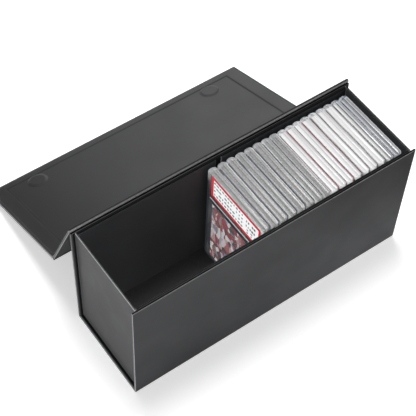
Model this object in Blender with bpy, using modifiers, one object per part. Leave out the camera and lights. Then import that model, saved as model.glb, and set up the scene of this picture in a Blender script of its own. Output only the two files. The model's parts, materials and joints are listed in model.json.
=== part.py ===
"""Storage case for graded cards: a magnetic book-style box of wrapped grey board.

A tray with four walls and a floor is glued inside a wrap-around cover. The cover is five wrapped
boards in a row, joined by paper folds: front, bottom, back, lid and flap. The lid folds back over
the case's rear edge, and its flap folds down over the front, where two magnets hold it.
The case stands open, with a row of sealed card slabs in the right part of the tray.

Metres, +Z up. +X runs along the case to the right, and +Y to the back. The origin is at the
middle of the bottom panel's underside.
"""

import math

import bmesh
import bpy
from mathutils import Vector

# General clearances and edges

SEAT_GAP = 0.0003  # between two pieces that touch or are glued
CUT_OVERRUN = 0.001  # how far a cutter reaches past the face that it opens
EDGE_SOFTNESS = 0.0005  # rounding that the wrap paper gives to a board's edges
EDGE_SEGMENTS = 2
ROUND_SIDES = 32  # sides of a disc or a round pocket

# Cover: the wrap-around boards

CASE_LENGTH = 0.318
COVER_BOARD = 0.0022  # grey board with its wrap
FOLD_PAPER = 0.0006  # wrap and lining paper together, where no board stiffens them
CORNER_FOLD_RADIUS = 0.0022
CORNER_FOLD_STEPS = 6

# Lid and flap

HINGE_RADIUS = 0.0018  # bulge of the folded paper around a hinge's axis
HINGE_STEPS = 18
HINGE_OPENING = math.radians(14)  # part of the circle that the paper leaves open to its board
LID_AXIS_BACK = 0.0006  # from the back panel's outer face
LID_SEAT_GAP = 0.0003  # between the lid's lining and the case's rim, shut
FLAP_SEAT_GAP = 0.00035  # between the magnets' bumps and the front panel, shut
FLAP_FOOT = 0.0015  # height of the flap's free edge above the base, shut
LID_HANG_ANGLE = math.radians(67)  # below level, lying open
FLOOR_CLEARANCE = 0.0003  # under the open flap's free edge
LINING_PAPER = 0.0004
LINING_MARGIN = 0.0030  # from a board's edge to the edge of its lining

# Magnets and catch plates

MAGNET_RADIUS = 0.0090
MAGNET_THICKNESS = 0.0016
MAGNET_FROM_END = 0.0485
MAGNET_FROM_FREE_EDGE = 0.0215
BUMP_RADIUS = 0.0100
BUMP_HEIGHT = 0.00045
CATCH_RADIUS = 0.0090
CATCH_THICKNESS = 0.0010

# Tray

END_OVERHANG = 0.0040  # how far the cover's panels reach past the tray's end walls
TRAY_BOARD = 0.0016
RIM_DROP = 0.0004  # of the tray's rim below the cover panels' top edges
SIDE_LINER = 0.0009  # the long walls' liners, whose ends leave a divider slot
END_LINER = 0.0006
FLOOR_LINER = 0.0006
LINER_DROP = 0.0010  # of the liners' top edges below the tray's rim
DIVIDER_SLOT = 0.0060

# Card slabs

SLAB_COUNT = 17
SLAB_THICKNESS = 0.0086
SLAB_GAP = 0.0009  # between two slabs that stand close together
SLAB_WIDTH = 0.0884
SLAB_HEIGHT = 0.1360
SLAB_SIDE_CLEARANCE = 0.00125  # on each side of a slab that stands in the middle
SLAB_HEADROOM = 0.0037  # from a slab's top to the top edge of the cover's panels
SLAB_END_SPARE = 0.0031  # from the last slab to the right end liner
SLAB_CORNER_RADIUS = 0.0035
SLAB_CORNER_SEGMENTS = 3
SLAB_EDGE_RADIUS = 0.0009
SLAB_LABEL_ZONE = 0.0388  # height of the zone that holds the label window
SLAB_RIDGE = 0.0022  # width of the raised ridge round the two windows
SLAB_BAR = 0.0036  # width of the raised bar between them
WINDOW_DEPTH = 0.0005
WINDOW_CORNER_RADIUS = 0.0020
POCKET_DEPTH = 0.0007  # of each half's pockets, from the welded joint
LABEL_LAND = 0.0072  # welded land at the label's ends
LABEL_TOP_LAND = 0.0027
LABEL_FOOT_LAND = 0.0057  # down to the middle of the bar
CARD_LAND = 0.0121  # welded land at the card's sides
CARD_TOP_LAND = 0.0048  # up to the middle of the bar
CARD_FOOT_LAND = 0.0035
# Gaps from each slab to the one on its right, as shares of the close gap.
SLAB_GAP_SHARES = (2.6, 1.6, 1.8, 1.9, 1.8, 1.3, 1.1, 1.0, 0.6, 0.6, 0.7, 1.0, 1.1, 0.7, 1.0, 1.3)
# How far each slab stands towards the back, as a share of the clearance at its side.
SLAB_SIDE_SHIFT_SHARES = (
    -0.60, -0.68, -0.52, -0.64, -0.58, -0.44, -0.56, -0.40, -0.74, -0.72, -0.62, -0.45, -0.55, -0.62,
    -0.50, -0.66, -0.74,
)

# Places that follow from the sizes

TRAY_BASE = COVER_BOARD + SEAT_GAP
FLOOR_TOP = TRAY_BASE + TRAY_BOARD
LINING_TOP = FLOOR_TOP + SEAT_GAP + FLOOR_LINER
SLAB_BASE = LINING_TOP + SEAT_GAP
CASE_HEIGHT = SLAB_BASE + SLAB_HEIGHT + SLAB_HEADROOM

CLEAR_HALF_DEPTH = SLAB_WIDTH / 2 + SLAB_SIDE_CLEARANCE
WALL_INNER_Y = CLEAR_HALF_DEPTH + SIDE_LINER + SEAT_GAP
TRAY_HALF_DEPTH = WALL_INNER_Y + TRAY_BOARD
HALF_DEPTH = TRAY_HALF_DEPTH + SEAT_GAP + COVER_BOARD  # to the outer faces of the front and back panels

HALF_LENGTH = CASE_LENGTH / 2
BOARD_HALF = COVER_BOARD / 2
MAGNET_X = HALF_LENGTH - MAGNET_FROM_END

LINED_BOARD = COVER_BOARD + SEAT_GAP + LINING_PAPER
LID_AXIS_Y = HALF_DEPTH + LID_AXIS_BACK
LID_AXIS_Z = CASE_HEIGHT + LID_SEAT_GAP + LINED_BOARD - BOARD_HALF
FLAP_STANDOFF = FLAP_SEAT_GAP + BUMP_HEIGHT + LINED_BOARD - BOARD_HALF
LID_SPAN = LID_AXIS_Y + HALF_DEPTH + FLAP_STANDOFF  # from the lid's axis to the flap's
FLAP_REACH = LID_AXIS_Z - FLAP_FOOT  # from the flap's axis to its free edge
BOARD_START = HINGE_RADIUS + SEAT_GAP  # from a hinge's axis to the board's edge

TRAY_RIM = CASE_HEIGHT - RIM_DROP
TRAY_HALF_LENGTH = HALF_LENGTH - END_OVERHANG
WALL_INNER_X = TRAY_HALF_LENGTH - TRAY_BOARD
LINER_TOP = TRAY_RIM - LINER_DROP
CLEAR_HALF_LENGTH = WALL_INNER_X - SEAT_GAP - END_LINER

SLAB_TOP = SLAB_HEIGHT / 2  # heights in a slab's own frame, from its middle
LABEL_SPLIT = SLAB_TOP - SLAB_LABEL_ZONE
WINDOW_HALF_WIDTH = SLAB_WIDTH / 2 - SLAB_RIDGE
WINDOW_FLOOR = SLAB_THICKNESS / 2 - WINDOW_DEPTH  # from the middle of the slab's thickness
LABEL_WINDOW = (LABEL_SPLIT + SLAB_BAR / 2, SLAB_TOP - SLAB_RIDGE)
CARD_WINDOW = (-SLAB_TOP + SLAB_RIDGE, LABEL_SPLIT - SLAB_BAR / 2)
LABEL_POCKET = (LABEL_SPLIT + LABEL_FOOT_LAND, SLAB_TOP - LABEL_TOP_LAND)
CARD_POCKET = (-SLAB_TOP + CARD_FOOT_LAND, LABEL_SPLIT - CARD_TOP_LAND)


def clear_scene():
    """Remove every object, so that the file holds the case alone."""
    for obj in list(bpy.data.objects):
        bpy.data.objects.remove(obj, do_unlink=True)


def new_collection(name):
    """Return a new collection, linked to the scene."""
    collection = bpy.data.collections.new(name)
    bpy.context.scene.collection.children.link(collection)
    return collection


def make_material(name, colour, roughness, metallic=0.0):
    """Return a Principled material of one plain colour."""
    material = bpy.data.materials.new(name)
    material.use_nodes = True
    shader = material.node_tree.nodes["Principled BSDF"]
    shader.inputs["Base Color"].default_value = (*colour, 1.0)
    shader.inputs["Roughness"].default_value = roughness
    shader.inputs["Metallic"].default_value = metallic
    material.diffuse_color = (*colour, 1.0)
    return material


WRAP_BLACK = ((0.030, 0.031, 0.033), 0.55)
LINER_BLACK = ((0.016, 0.016, 0.018), 0.70)
LINING_GREY = ((0.060, 0.062, 0.064), 0.60)
MAGNET_NICKEL = ((0.62, 0.61, 0.58), 0.28, 1.0)
PLATE_STEEL = ((0.45, 0.45, 0.46), 0.38, 1.0)
SLAB_CLEAR = ((0.72, 0.75, 0.78), 0.12)
LABEL_PAPER = ((0.78, 0.72, 0.71), 0.50)
CARD_STOCK = ((0.55, 0.58, 0.66), 0.45)


def add_piece(name, mesh, finish, parent=None):
    """Link a mesh as a named piece with a material of its own."""
    piece = bpy.data.objects.new(name, mesh)
    bpy.data.collections["graded_card_case"].objects.link(piece)
    piece.parent = parent
    mesh.materials.clear()
    mesh.materials.append(make_material(name, *finish))
    return piece


def add_pivot(name, location, parent=None, turn=0.0):
    """Add an empty on a joint's axis, turned about X."""
    pivot = bpy.data.objects.new(name, None)
    bpy.data.collections["graded_card_case"].objects.link(pivot)
    pivot.parent = parent
    pivot.location = location
    pivot.rotation_euler = (turn, 0.0, 0.0)
    return pivot


def finish_mesh(name, shape):
    """Turn a bmesh into a mesh."""
    mesh = bpy.data.meshes.new(name)
    shape.to_mesh(mesh)
    shape.free()
    return mesh


def centred_box(spans):
    """Return a box as a bmesh about its own centre, and that centre, from its span on each axis."""
    size = Vector([high - low for low, high in spans])
    centre = Vector([(high + low) / 2 for low, high in spans])
    shape = bmesh.new()
    bmesh.ops.create_cube(shape, size=1.0)
    bmesh.ops.scale(shape, vec=size, verts=shape.verts)
    return shape, centre


def soften(piece, width=EDGE_SOFTNESS):
    """Round a piece's sharp edges."""
    bevel = piece.modifiers.new("soft_edges", "BEVEL")
    bevel.width = width
    bevel.segments = EDGE_SEGMENTS
    bevel.limit_method = "ANGLE"


def board(name, spans, finish, parent=None):
    """Add a wrapped board with softly rounded edges."""
    shape, centre = centred_box(spans)
    piece = add_piece(name, finish_mesh(name, shape), finish, parent)
    piece.location = centre
    soften(piece)
    return piece


def paper(name, spans, finish, parent=None):
    """Add a thin flat sheet with plain cut edges."""
    shape, centre = centred_box(spans)
    piece = add_piece(name, finish_mesh(name, shape), finish, parent)
    piece.location = centre
    return piece


def round_mesh(name, radius, low, high):
    """Return a disc's mesh between two heights on its own Z axis."""
    shape = bmesh.new()
    bmesh.ops.create_cone(
        shape, cap_ends=True, segments=ROUND_SIDES, radius1=radius, radius2=radius, depth=high - low
    )
    bmesh.ops.translate(shape, vec=(0.0, 0.0, (high + low) / 2), verts=shape.verts)
    return finish_mesh(name, shape)


def smooth_round(mesh):
    """Shade a round piece smooth, with its rims kept sharp."""
    mesh.shade_smooth()
    mesh.set_sharp_from_angle(angle=math.radians(30))


def disc(name, radius, low, high, place, finish, parent=None, turn=0.0):
    """Add a round disc at a place, its axis on Z or turned about X."""
    mesh = round_mesh(name, radius, low, high)
    smooth_round(mesh)
    piece = add_piece(name, mesh, finish, parent)
    piece.location = place
    piece.rotation_euler = (turn, 0.0, 0.0)
    return piece


def round_tool(name, radius, low, high, place, parent=None, turn=0.0):
    """Add a round cutting or joining tool, which isn't part of the model."""
    tool = bpy.data.objects.new(name, round_mesh(name, radius, low, high))
    bpy.data.collections["cutters"].objects.link(tool)
    tool.parent = parent
    tool.location = place
    tool.rotation_euler = (turn, 0.0, 0.0)
    tool.hide_render = True
    tool.display_type = "WIRE"
    return tool


def combine(piece, tool, operation):
    """Cut a tool from a piece, or join it on."""
    boolean = piece.modifiers.new(tool.name, "BOOLEAN")
    boolean.operation = operation
    boolean.solver = "EXACT"
    boolean.object = tool


def folded_paper(name, place, radius, start, sweep, steps, parent=None):
    """Add wrap paper that curves round an axis along X, over the length of the case.

    Angles are about X, counted from +Y towards +Z. The radius is that of the paper's outer face.
    """
    edge = bpy.data.meshes.new(name)
    centreline = radius - FOLD_PAPER / 2
    edge.from_pydata([(-HALF_LENGTH, centreline, 0.0), (HALF_LENGTH, centreline, 0.0)], [(0, 1)], [])
    piece = add_piece(name, edge, WRAP_BLACK, parent)
    piece.location = place
    piece.rotation_euler = (start, 0.0, 0.0)
    turn = piece.modifiers.new("turn", "SCREW")
    turn.axis = "X"
    turn.angle = sweep
    turn.steps = steps
    turn.render_steps = steps
    turn.use_smooth_shade = True
    shell = piece.modifiers.new("paper_thickness", "SOLIDIFY")
    shell.thickness = FOLD_PAPER
    shell.offset = 0.0
    shell.use_even_offset = True
    return piece


def hinge_bulge(name, place, board_angle, parent=None):
    """Add the folded paper that bulges round a hinge's axis, open towards the board that holds it."""
    start = board_angle + HINGE_OPENING / 2
    sweep = 2 * math.pi - HINGE_OPENING
    return folded_paper(name, place, HINGE_RADIUS, start, sweep, HINGE_STEPS, parent)


def build_cover():
    """Build the fixed boards of the cover and the two folds that join them."""
    along = (-HALF_LENGTH, HALF_LENGTH)
    edge = CORNER_FOLD_RADIUS + SEAT_GAP
    front = board(
        "front_panel",
        (along, (-HALF_DEPTH, -HALF_DEPTH + COVER_BOARD), (edge, CASE_HEIGHT)),
        WRAP_BLACK,
    )
    board(
        "bottom_panel",
        (along, (-HALF_DEPTH + edge, HALF_DEPTH - edge), (0.0, COVER_BOARD)),
        WRAP_BLACK,
    )
    board(
        "back_panel",
        (along, (HALF_DEPTH - COVER_BOARD, HALF_DEPTH), (edge, CASE_HEIGHT)),
        WRAP_BLACK,
    )
    centre = HALF_DEPTH - CORNER_FOLD_RADIUS
    for name, place_y, start in (("front_fold", -centre, math.pi), ("back_fold", centre, 1.5 * math.pi)):
        place = (0.0, place_y, CORNER_FOLD_RADIUS)
        folded_paper(name, place, CORNER_FOLD_RADIUS, start, math.pi / 2, CORNER_FOLD_STEPS)
    return front


def build_catch_plates(front):
    """Build the two steel discs and their pockets in the front panel's inner face."""
    height = FLAP_FOOT + MAGNET_FROM_FREE_EDGE
    inner_face = -HALF_DEPTH + COVER_BOARD
    pocket_depth = CATCH_THICKNESS + SEAT_GAP
    quarter_turn = -math.pi / 2  # the discs' own Z axis points to the back
    for side, place_x in (("left", -MAGNET_X), ("right", MAGNET_X)):
        place = (place_x, inner_face, height)
        tool = round_tool(
            f"catch_pocket_{side}", CATCH_RADIUS + SEAT_GAP, -pocket_depth, CUT_OVERRUN, place, turn=quarter_turn
        )
        combine(front, tool, "DIFFERENCE")
        disc(
            f"catch_plate_{side}", CATCH_RADIUS, -CATCH_THICKNESS, 0.0, place, PLATE_STEEL, turn=quarter_turn
        )


def build_tray():
    """Build the tray's floor and walls: the end walls cover the long walls' ends."""
    long_half = TRAY_HALF_LENGTH - TRAY_BOARD - SEAT_GAP
    upright = (TRAY_BASE, TRAY_RIM)
    floor_y = WALL_INNER_Y - SEAT_GAP
    board(
        "tray_floor",
        ((-long_half, long_half), (-floor_y, floor_y), (TRAY_BASE, FLOOR_TOP)),
        LINER_BLACK,
    )
    board(
        "tray_front_wall",
        ((-long_half, long_half), (-TRAY_HALF_DEPTH, -WALL_INNER_Y), upright),
        LINER_BLACK,
    )
    board(
        "tray_back_wall",
        ((-long_half, long_half), (WALL_INNER_Y, TRAY_HALF_DEPTH), upright),
        LINER_BLACK,
    )
    across = (-TRAY_HALF_DEPTH, TRAY_HALF_DEPTH)
    board("tray_left_wall", ((-TRAY_HALF_LENGTH, -WALL_INNER_X), across, upright), WRAP_BLACK)
    board("tray_right_wall", ((WALL_INNER_X, TRAY_HALF_LENGTH), across, upright), WRAP_BLACK)


def build_liners():
    """Build the liners: two on each long wall with the divider slot between, the ends and the floor."""
    outer_y = WALL_INNER_Y - SEAT_GAP
    outer_x = WALL_INNER_X - SEAT_GAP
    upright = (FLOOR_TOP + SEAT_GAP, LINER_TOP)
    slot_half = DIVIDER_SLOT / 2
    sides = (("front", (-outer_y, -CLEAR_HALF_DEPTH)), ("back", (CLEAR_HALF_DEPTH, outer_y)))
    halves = (("left", (-outer_x, -slot_half)), ("right", (slot_half, outer_x)))
    for wall, across in sides:
        for half, along in halves:
            board(f"{wall}_liner_{half}", (along, across, upright), LINER_BLACK)
    end_y = CLEAR_HALF_DEPTH - SEAT_GAP
    paper("end_liner_left", ((-outer_x, -CLEAR_HALF_LENGTH), (-end_y, end_y), upright), LINER_BLACK)
    paper("end_liner_right", ((CLEAR_HALF_LENGTH, outer_x), (-end_y, end_y), upright), LINER_BLACK)
    floor_x = CLEAR_HALF_LENGTH - SEAT_GAP
    paper(
        "floor_liner",
        ((-floor_x, floor_x), (-end_y, end_y), (FLOOR_TOP + SEAT_GAP, LINING_TOP)),
        LINER_BLACK,
    )


def lining(name, low, high, parent):
    """Add the lining paper on a hinged board's inner face, which is its own +Z side."""
    half = HALF_LENGTH - LINING_MARGIN
    face = BOARD_HALF + SEAT_GAP
    spans = ((-half, half), (low + LINING_MARGIN, high - LINING_MARGIN), (face, face + LINING_PAPER))
    return paper(name, spans, LINING_GREY, parent)


def build_lid():
    """Build the lid on its hinge. In the pivot's frame +Y runs to the flap and +Z is the inner side."""
    corner_angle = math.atan2(CASE_HEIGHT - LID_AXIS_Z, HALF_DEPTH - LID_AXIS_Y)
    hinge_bulge("lid_hinge", (0.0, LID_AXIS_Y, LID_AXIS_Z), corner_angle)
    pivot = add_pivot("lid_pivot", (0.0, LID_AXIS_Y, LID_AXIS_Z), turn=-LID_HANG_ANGLE)
    low, high = BOARD_START, LID_SPAN - BOARD_START
    board(
        "lid_panel",
        ((-HALF_LENGTH, HALF_LENGTH), (low, high), (-BOARD_HALF, BOARD_HALF)),
        WRAP_BLACK,
        pivot,
    )
    lining("lid_lining", low, high, pivot)
    hinge_bulge("flap_hinge", (0.0, LID_SPAN, 0.0), math.pi, pivot)
    return pivot


def flap_rest_angle():
    """Return the flap's angle to the lid, from flat, at which its free edge lies on the floor."""
    drop = LID_AXIS_Z - LID_SPAN * math.sin(LID_HANG_ANGLE) - FLOOR_CLEARANCE
    reach = math.hypot(FLAP_REACH, BOARD_HALF)
    slope = math.asin(drop / reach) - math.atan2(BOARD_HALF, FLAP_REACH)
    return LID_HANG_ANGLE - slope


def build_flap(lid_pivot):
    """Build the flap, its lining with the magnets' bumps, and the magnets in their pockets."""
    pivot = add_pivot("flap_pivot", (0.0, LID_SPAN, 0.0), lid_pivot, flap_rest_angle())
    low, high = BOARD_START, FLAP_REACH
    panel = board(
        "flap_panel",
        ((-HALF_LENGTH, HALF_LENGTH), (low, high), (-BOARD_HALF, BOARD_HALF)),
        WRAP_BLACK,
        pivot,
    )
    sheet = lining("flap_lining", low, high, pivot)
    sheet_face = BOARD_HALF + SEAT_GAP + LINING_PAPER
    for side, place_x in (("left", -MAGNET_X), ("right", MAGNET_X)):
        middle = (place_x, high - MAGNET_FROM_FREE_EDGE, 0.0)
        pocket_floor = BOARD_HALF - MAGNET_THICKNESS - SEAT_GAP
        tool = round_tool(
            f"magnet_pocket_{side}",
            MAGNET_RADIUS + SEAT_GAP,
            pocket_floor,
            BOARD_HALF + CUT_OVERRUN,
            middle,
            pivot,
        )
        combine(panel, tool, "DIFFERENCE")
        disc(
            f"flap_magnet_{side}",
            MAGNET_RADIUS,
            BOARD_HALF - MAGNET_THICKNESS,
            BOARD_HALF,
            middle,
            MAGNET_NICKEL,
            pivot,
        )
        bump = round_tool(
            f"magnet_bump_{side}",
            BUMP_RADIUS,
            sheet_face - LINING_PAPER / 2,
            sheet_face + BUMP_HEIGHT,
            middle,
            pivot,
        )
        combine(sheet, bump, "UNION")


def round_corners(shape, radius):
    """Round the corners of a block's outline, seen along X."""
    corners = [e for e in shape.edges if abs(e.verts[0].co.x - e.verts[1].co.x) > radius / ROUND_SIDES]
    bmesh.ops.bevel(
        shape, geom=corners, offset=radius, segments=SLAB_CORNER_SEGMENTS, profile=0.5, affect="EDGES"
    )


def new_block(spans):
    """Return a box as a bmesh in its own place, from its span on each axis."""
    shape, centre = centred_box(spans)
    bmesh.ops.translate(shape, vec=centre, verts=shape.verts)
    return shape


def slab_mesh(name, low, high):
    """Return a plain slab's mesh between two places across its thickness, with soft outer rims."""
    half_width = SLAB_WIDTH / 2
    shape = new_block(((low, high), (-half_width, half_width), (-SLAB_TOP, SLAB_TOP)))
    round_corners(shape, SLAB_CORNER_RADIUS)
    outer = [f for f in shape.faces if abs(f.calc_center_median().x) > WINDOW_FLOOR]
    rims = {edge for face in outer for edge in face.edges}
    bmesh.ops.bevel(
        shape, geom=list(rims), offset=SLAB_EDGE_RADIUS, segments=EDGE_SEGMENTS, profile=0.5, affect="EDGES"
    )
    return finish_mesh(name, shape)


def slab_tool(name, spans, carrier):
    """Add a tool with rounded corners that cuts a window or a pocket in a slab."""
    shape = new_block(spans)
    round_corners(shape, WINDOW_CORNER_RADIUS)
    tool = bpy.data.objects.new(name, finish_mesh(name, shape))
    bpy.data.collections["cutters"].objects.link(tool)
    tool.parent = carrier
    tool.hide_render = True
    tool.display_type = "WIRE"
    return tool


def window_tools(carrier):
    """Return the tools for the label's and the card's windows, on the slab's left and right faces."""
    width = (-WINDOW_HALF_WIDTH, WINDOW_HALF_WIDTH)
    face = SLAB_THICKNESS / 2 + CUT_OVERRUN
    left, right = (-face, -WINDOW_FLOOR), (WINDOW_FLOOR, face)
    return {
        "left": [
            slab_tool("label_window_left", (left, width, LABEL_WINDOW), carrier),
            slab_tool("card_window_left", (left, width, CARD_WINDOW), carrier),
        ],
        "right": [
            slab_tool("label_window_right", (right, width, LABEL_WINDOW), carrier),
            slab_tool("card_window_right", (right, width, CARD_WINDOW), carrier),
        ],
    }


def pocket_tools(carrier):
    """Return the tools for the label's and the card's pockets, which both halves share."""
    depth = (-POCKET_DEPTH, POCKET_DEPTH)
    label_half = SLAB_WIDTH / 2 - LABEL_LAND
    card_half = SLAB_WIDTH / 2 - CARD_LAND
    return [
        slab_tool("label_pocket", (depth, (-label_half, label_half), LABEL_POCKET), carrier),
        slab_tool("card_pocket", (depth, (-card_half, card_half), CARD_POCKET), carrier),
    ]


def cut_all(piece, tools):
    """Cut each tool from a piece."""
    for tool in tools:
        combine(piece, tool, "DIFFERENCE")


def slab_insert(name, half_pocket_width, pocket, finish, carrier):
    """Add the sheet that fills a pocket, a seating gap clear of it all round."""
    half_thickness = POCKET_DEPTH - SEAT_GAP / 2
    half_width = half_pocket_width - SEAT_GAP
    spans = (
        (-half_thickness, half_thickness),
        (-half_width, half_width),
        (pocket[0] + SEAT_GAP, pocket[1] - SEAT_GAP),
    )
    shape = new_block(spans)
    round_corners(shape, WINDOW_CORNER_RADIUS - SEAT_GAP)
    add_piece(name, finish_mesh(name, shape), finish, carrier)


def slab_places():
    """Return the places of the slabs' centres, from the left end of the row."""
    centre_z = SLAB_BASE + SLAB_HEIGHT / 2
    place_x = CLEAR_HALF_LENGTH - SLAB_END_SPARE - SLAB_THICKNESS / 2
    places = []
    for index in reversed(range(SLAB_COUNT)):
        shift_share = SLAB_SIDE_SHIFT_SHARES[index % len(SLAB_SIDE_SHIFT_SHARES)]
        places.append((place_x, shift_share * SLAB_SIDE_CLEARANCE, centre_z))
        gap_share = SLAB_GAP_SHARES[(index - 1) % len(SLAB_GAP_SHARES)]
        place_x -= SLAB_THICKNESS + gap_share * SLAB_GAP
    return places[::-1]


def build_first_slab(carrier, windows):
    """Build the slab whose face shows: two welded halves with a label and a card in their pockets."""
    pockets = pocket_tools(carrier)
    face = SLAB_THICKNESS / 2
    joint = SEAT_GAP / 2
    front = add_piece(
        "slab_01_front_half", slab_mesh("slab_01_front_half", -face, -joint), SLAB_CLEAR, carrier
    )
    back = add_piece("slab_01_back_half", slab_mesh("slab_01_back_half", joint, face), SLAB_CLEAR, carrier)
    cut_all(front, windows["left"] + pockets)
    cut_all(back, windows["right"] + pockets)
    slab_insert("slab_01_label", SLAB_WIDTH / 2 - LABEL_LAND, LABEL_POCKET, LABEL_PAPER, carrier)
    slab_insert("slab_01_card", SLAB_WIDTH / 2 - CARD_LAND, CARD_POCKET, CARD_STOCK, carrier)


def sealed_slab_mesh(carrier, windows):
    """Return the mesh of a sealed slab, with the windows cut in both of its faces."""
    face = SLAB_THICKNESS / 2
    pattern = bpy.data.objects.new("sealed_slab", slab_mesh("sealed_slab", -face, face))
    bpy.data.collections["cutters"].objects.link(pattern)
    pattern.parent = carrier
    cut_all(pattern, windows["left"] + windows["right"])
    finished = pattern.evaluated_get(bpy.context.evaluated_depsgraph_get())
    mesh = bpy.data.meshes.new_from_object(finished)
    bpy.data.objects.remove(pattern)
    return mesh


def build_slabs():
    """Build the row of slabs. Those behind the first are each one sealed piece."""
    places = slab_places()
    carrier = add_pivot("slab_01_carrier", places[0])
    windows = window_tools(carrier)
    build_first_slab(carrier, windows)
    sealed = sealed_slab_mesh(carrier, windows)
    for number, place in enumerate(places[1:], start=2):
        slab = add_piece(f"slab_{number:02d}", sealed.copy(), SLAB_CLEAR)
        slab.location = place


def main():
    """Build the whole case, open, with its slabs."""
    clear_scene()
    new_collection("graded_card_case")
    new_collection("cutters")
    front = build_cover()
    build_catch_plates(front)
    build_tray()
    build_liners()
    build_flap(build_lid())
    build_slabs()
    bpy.context.view_layer.update()


main()
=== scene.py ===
"""Looks of the graded card storage case, a magnetic book-style box with a row of sealed card slabs.

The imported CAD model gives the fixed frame. Each class below builds one sub-assembly of the real
case: the wrapped cover, the glued tray, the folding lid with its flap, and the card slabs. Lengths
are in metres and colours are linear.
"""

from __future__ import annotations

import json
import logging
import math
from collections.abc import Iterable, Sequence
from dataclasses import dataclass, field
from enum import Enum

import bmesh
import bpy
from mathutils import Matrix, Vector

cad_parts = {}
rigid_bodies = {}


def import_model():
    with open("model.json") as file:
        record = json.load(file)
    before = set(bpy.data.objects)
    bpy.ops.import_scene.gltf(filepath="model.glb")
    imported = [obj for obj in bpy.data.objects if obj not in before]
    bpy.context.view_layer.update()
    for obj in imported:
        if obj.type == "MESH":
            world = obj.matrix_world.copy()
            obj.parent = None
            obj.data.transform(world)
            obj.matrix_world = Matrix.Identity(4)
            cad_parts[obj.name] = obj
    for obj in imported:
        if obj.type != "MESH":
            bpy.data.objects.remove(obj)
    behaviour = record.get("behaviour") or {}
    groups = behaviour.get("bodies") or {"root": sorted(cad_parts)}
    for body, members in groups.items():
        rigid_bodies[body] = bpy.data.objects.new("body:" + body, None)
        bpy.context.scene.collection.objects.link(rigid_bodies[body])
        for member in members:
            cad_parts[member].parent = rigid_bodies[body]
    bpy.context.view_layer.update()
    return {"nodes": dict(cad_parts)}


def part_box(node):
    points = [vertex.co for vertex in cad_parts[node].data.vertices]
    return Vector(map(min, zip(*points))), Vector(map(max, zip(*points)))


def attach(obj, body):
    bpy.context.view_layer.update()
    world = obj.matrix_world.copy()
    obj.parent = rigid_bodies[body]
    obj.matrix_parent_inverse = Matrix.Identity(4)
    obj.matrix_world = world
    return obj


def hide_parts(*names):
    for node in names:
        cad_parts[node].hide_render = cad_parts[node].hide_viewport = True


log = logging.getLogger("card_case")

Point = tuple[float, float]
Span = tuple[float, float]
Triple = tuple[float, float, float]
Colour = Triple
Stops = tuple[tuple[float, Colour], ...]
Socket = bpy.types.NodeSocket
Node = bpy.types.Node
Tree = bpy.types.NodeTree
Outputs = bpy.types.bpy_prop_collection
Material = bpy.types.Material
Piece = bpy.types.Object
Ring = Sequence[bmesh.types.BMVert]

WEAR_AND_HIGHLIGHT = "edge_wear_and_highlight"  # the vertex attribute that marks a board's rubbed edges, lightened both for wear and as painted highlight
PRESSED = "pressed_line"  # the vertex attribute that marks where a lining is pressed down, darkened there as painted shade
LABEL_SIZE = (0.0764, 0.0304)
CARD_SIZE = (0.0700, 0.0883)
BLACK = (0.0, 0.0, 0.0)
ACROSS, DEEP, UP = Vector((1.0, 0.0, 0.0)), Vector((0.0, 1.0, 0.0)), Vector((0.0, 0.0, 1.0))


# Shader nodes


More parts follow.
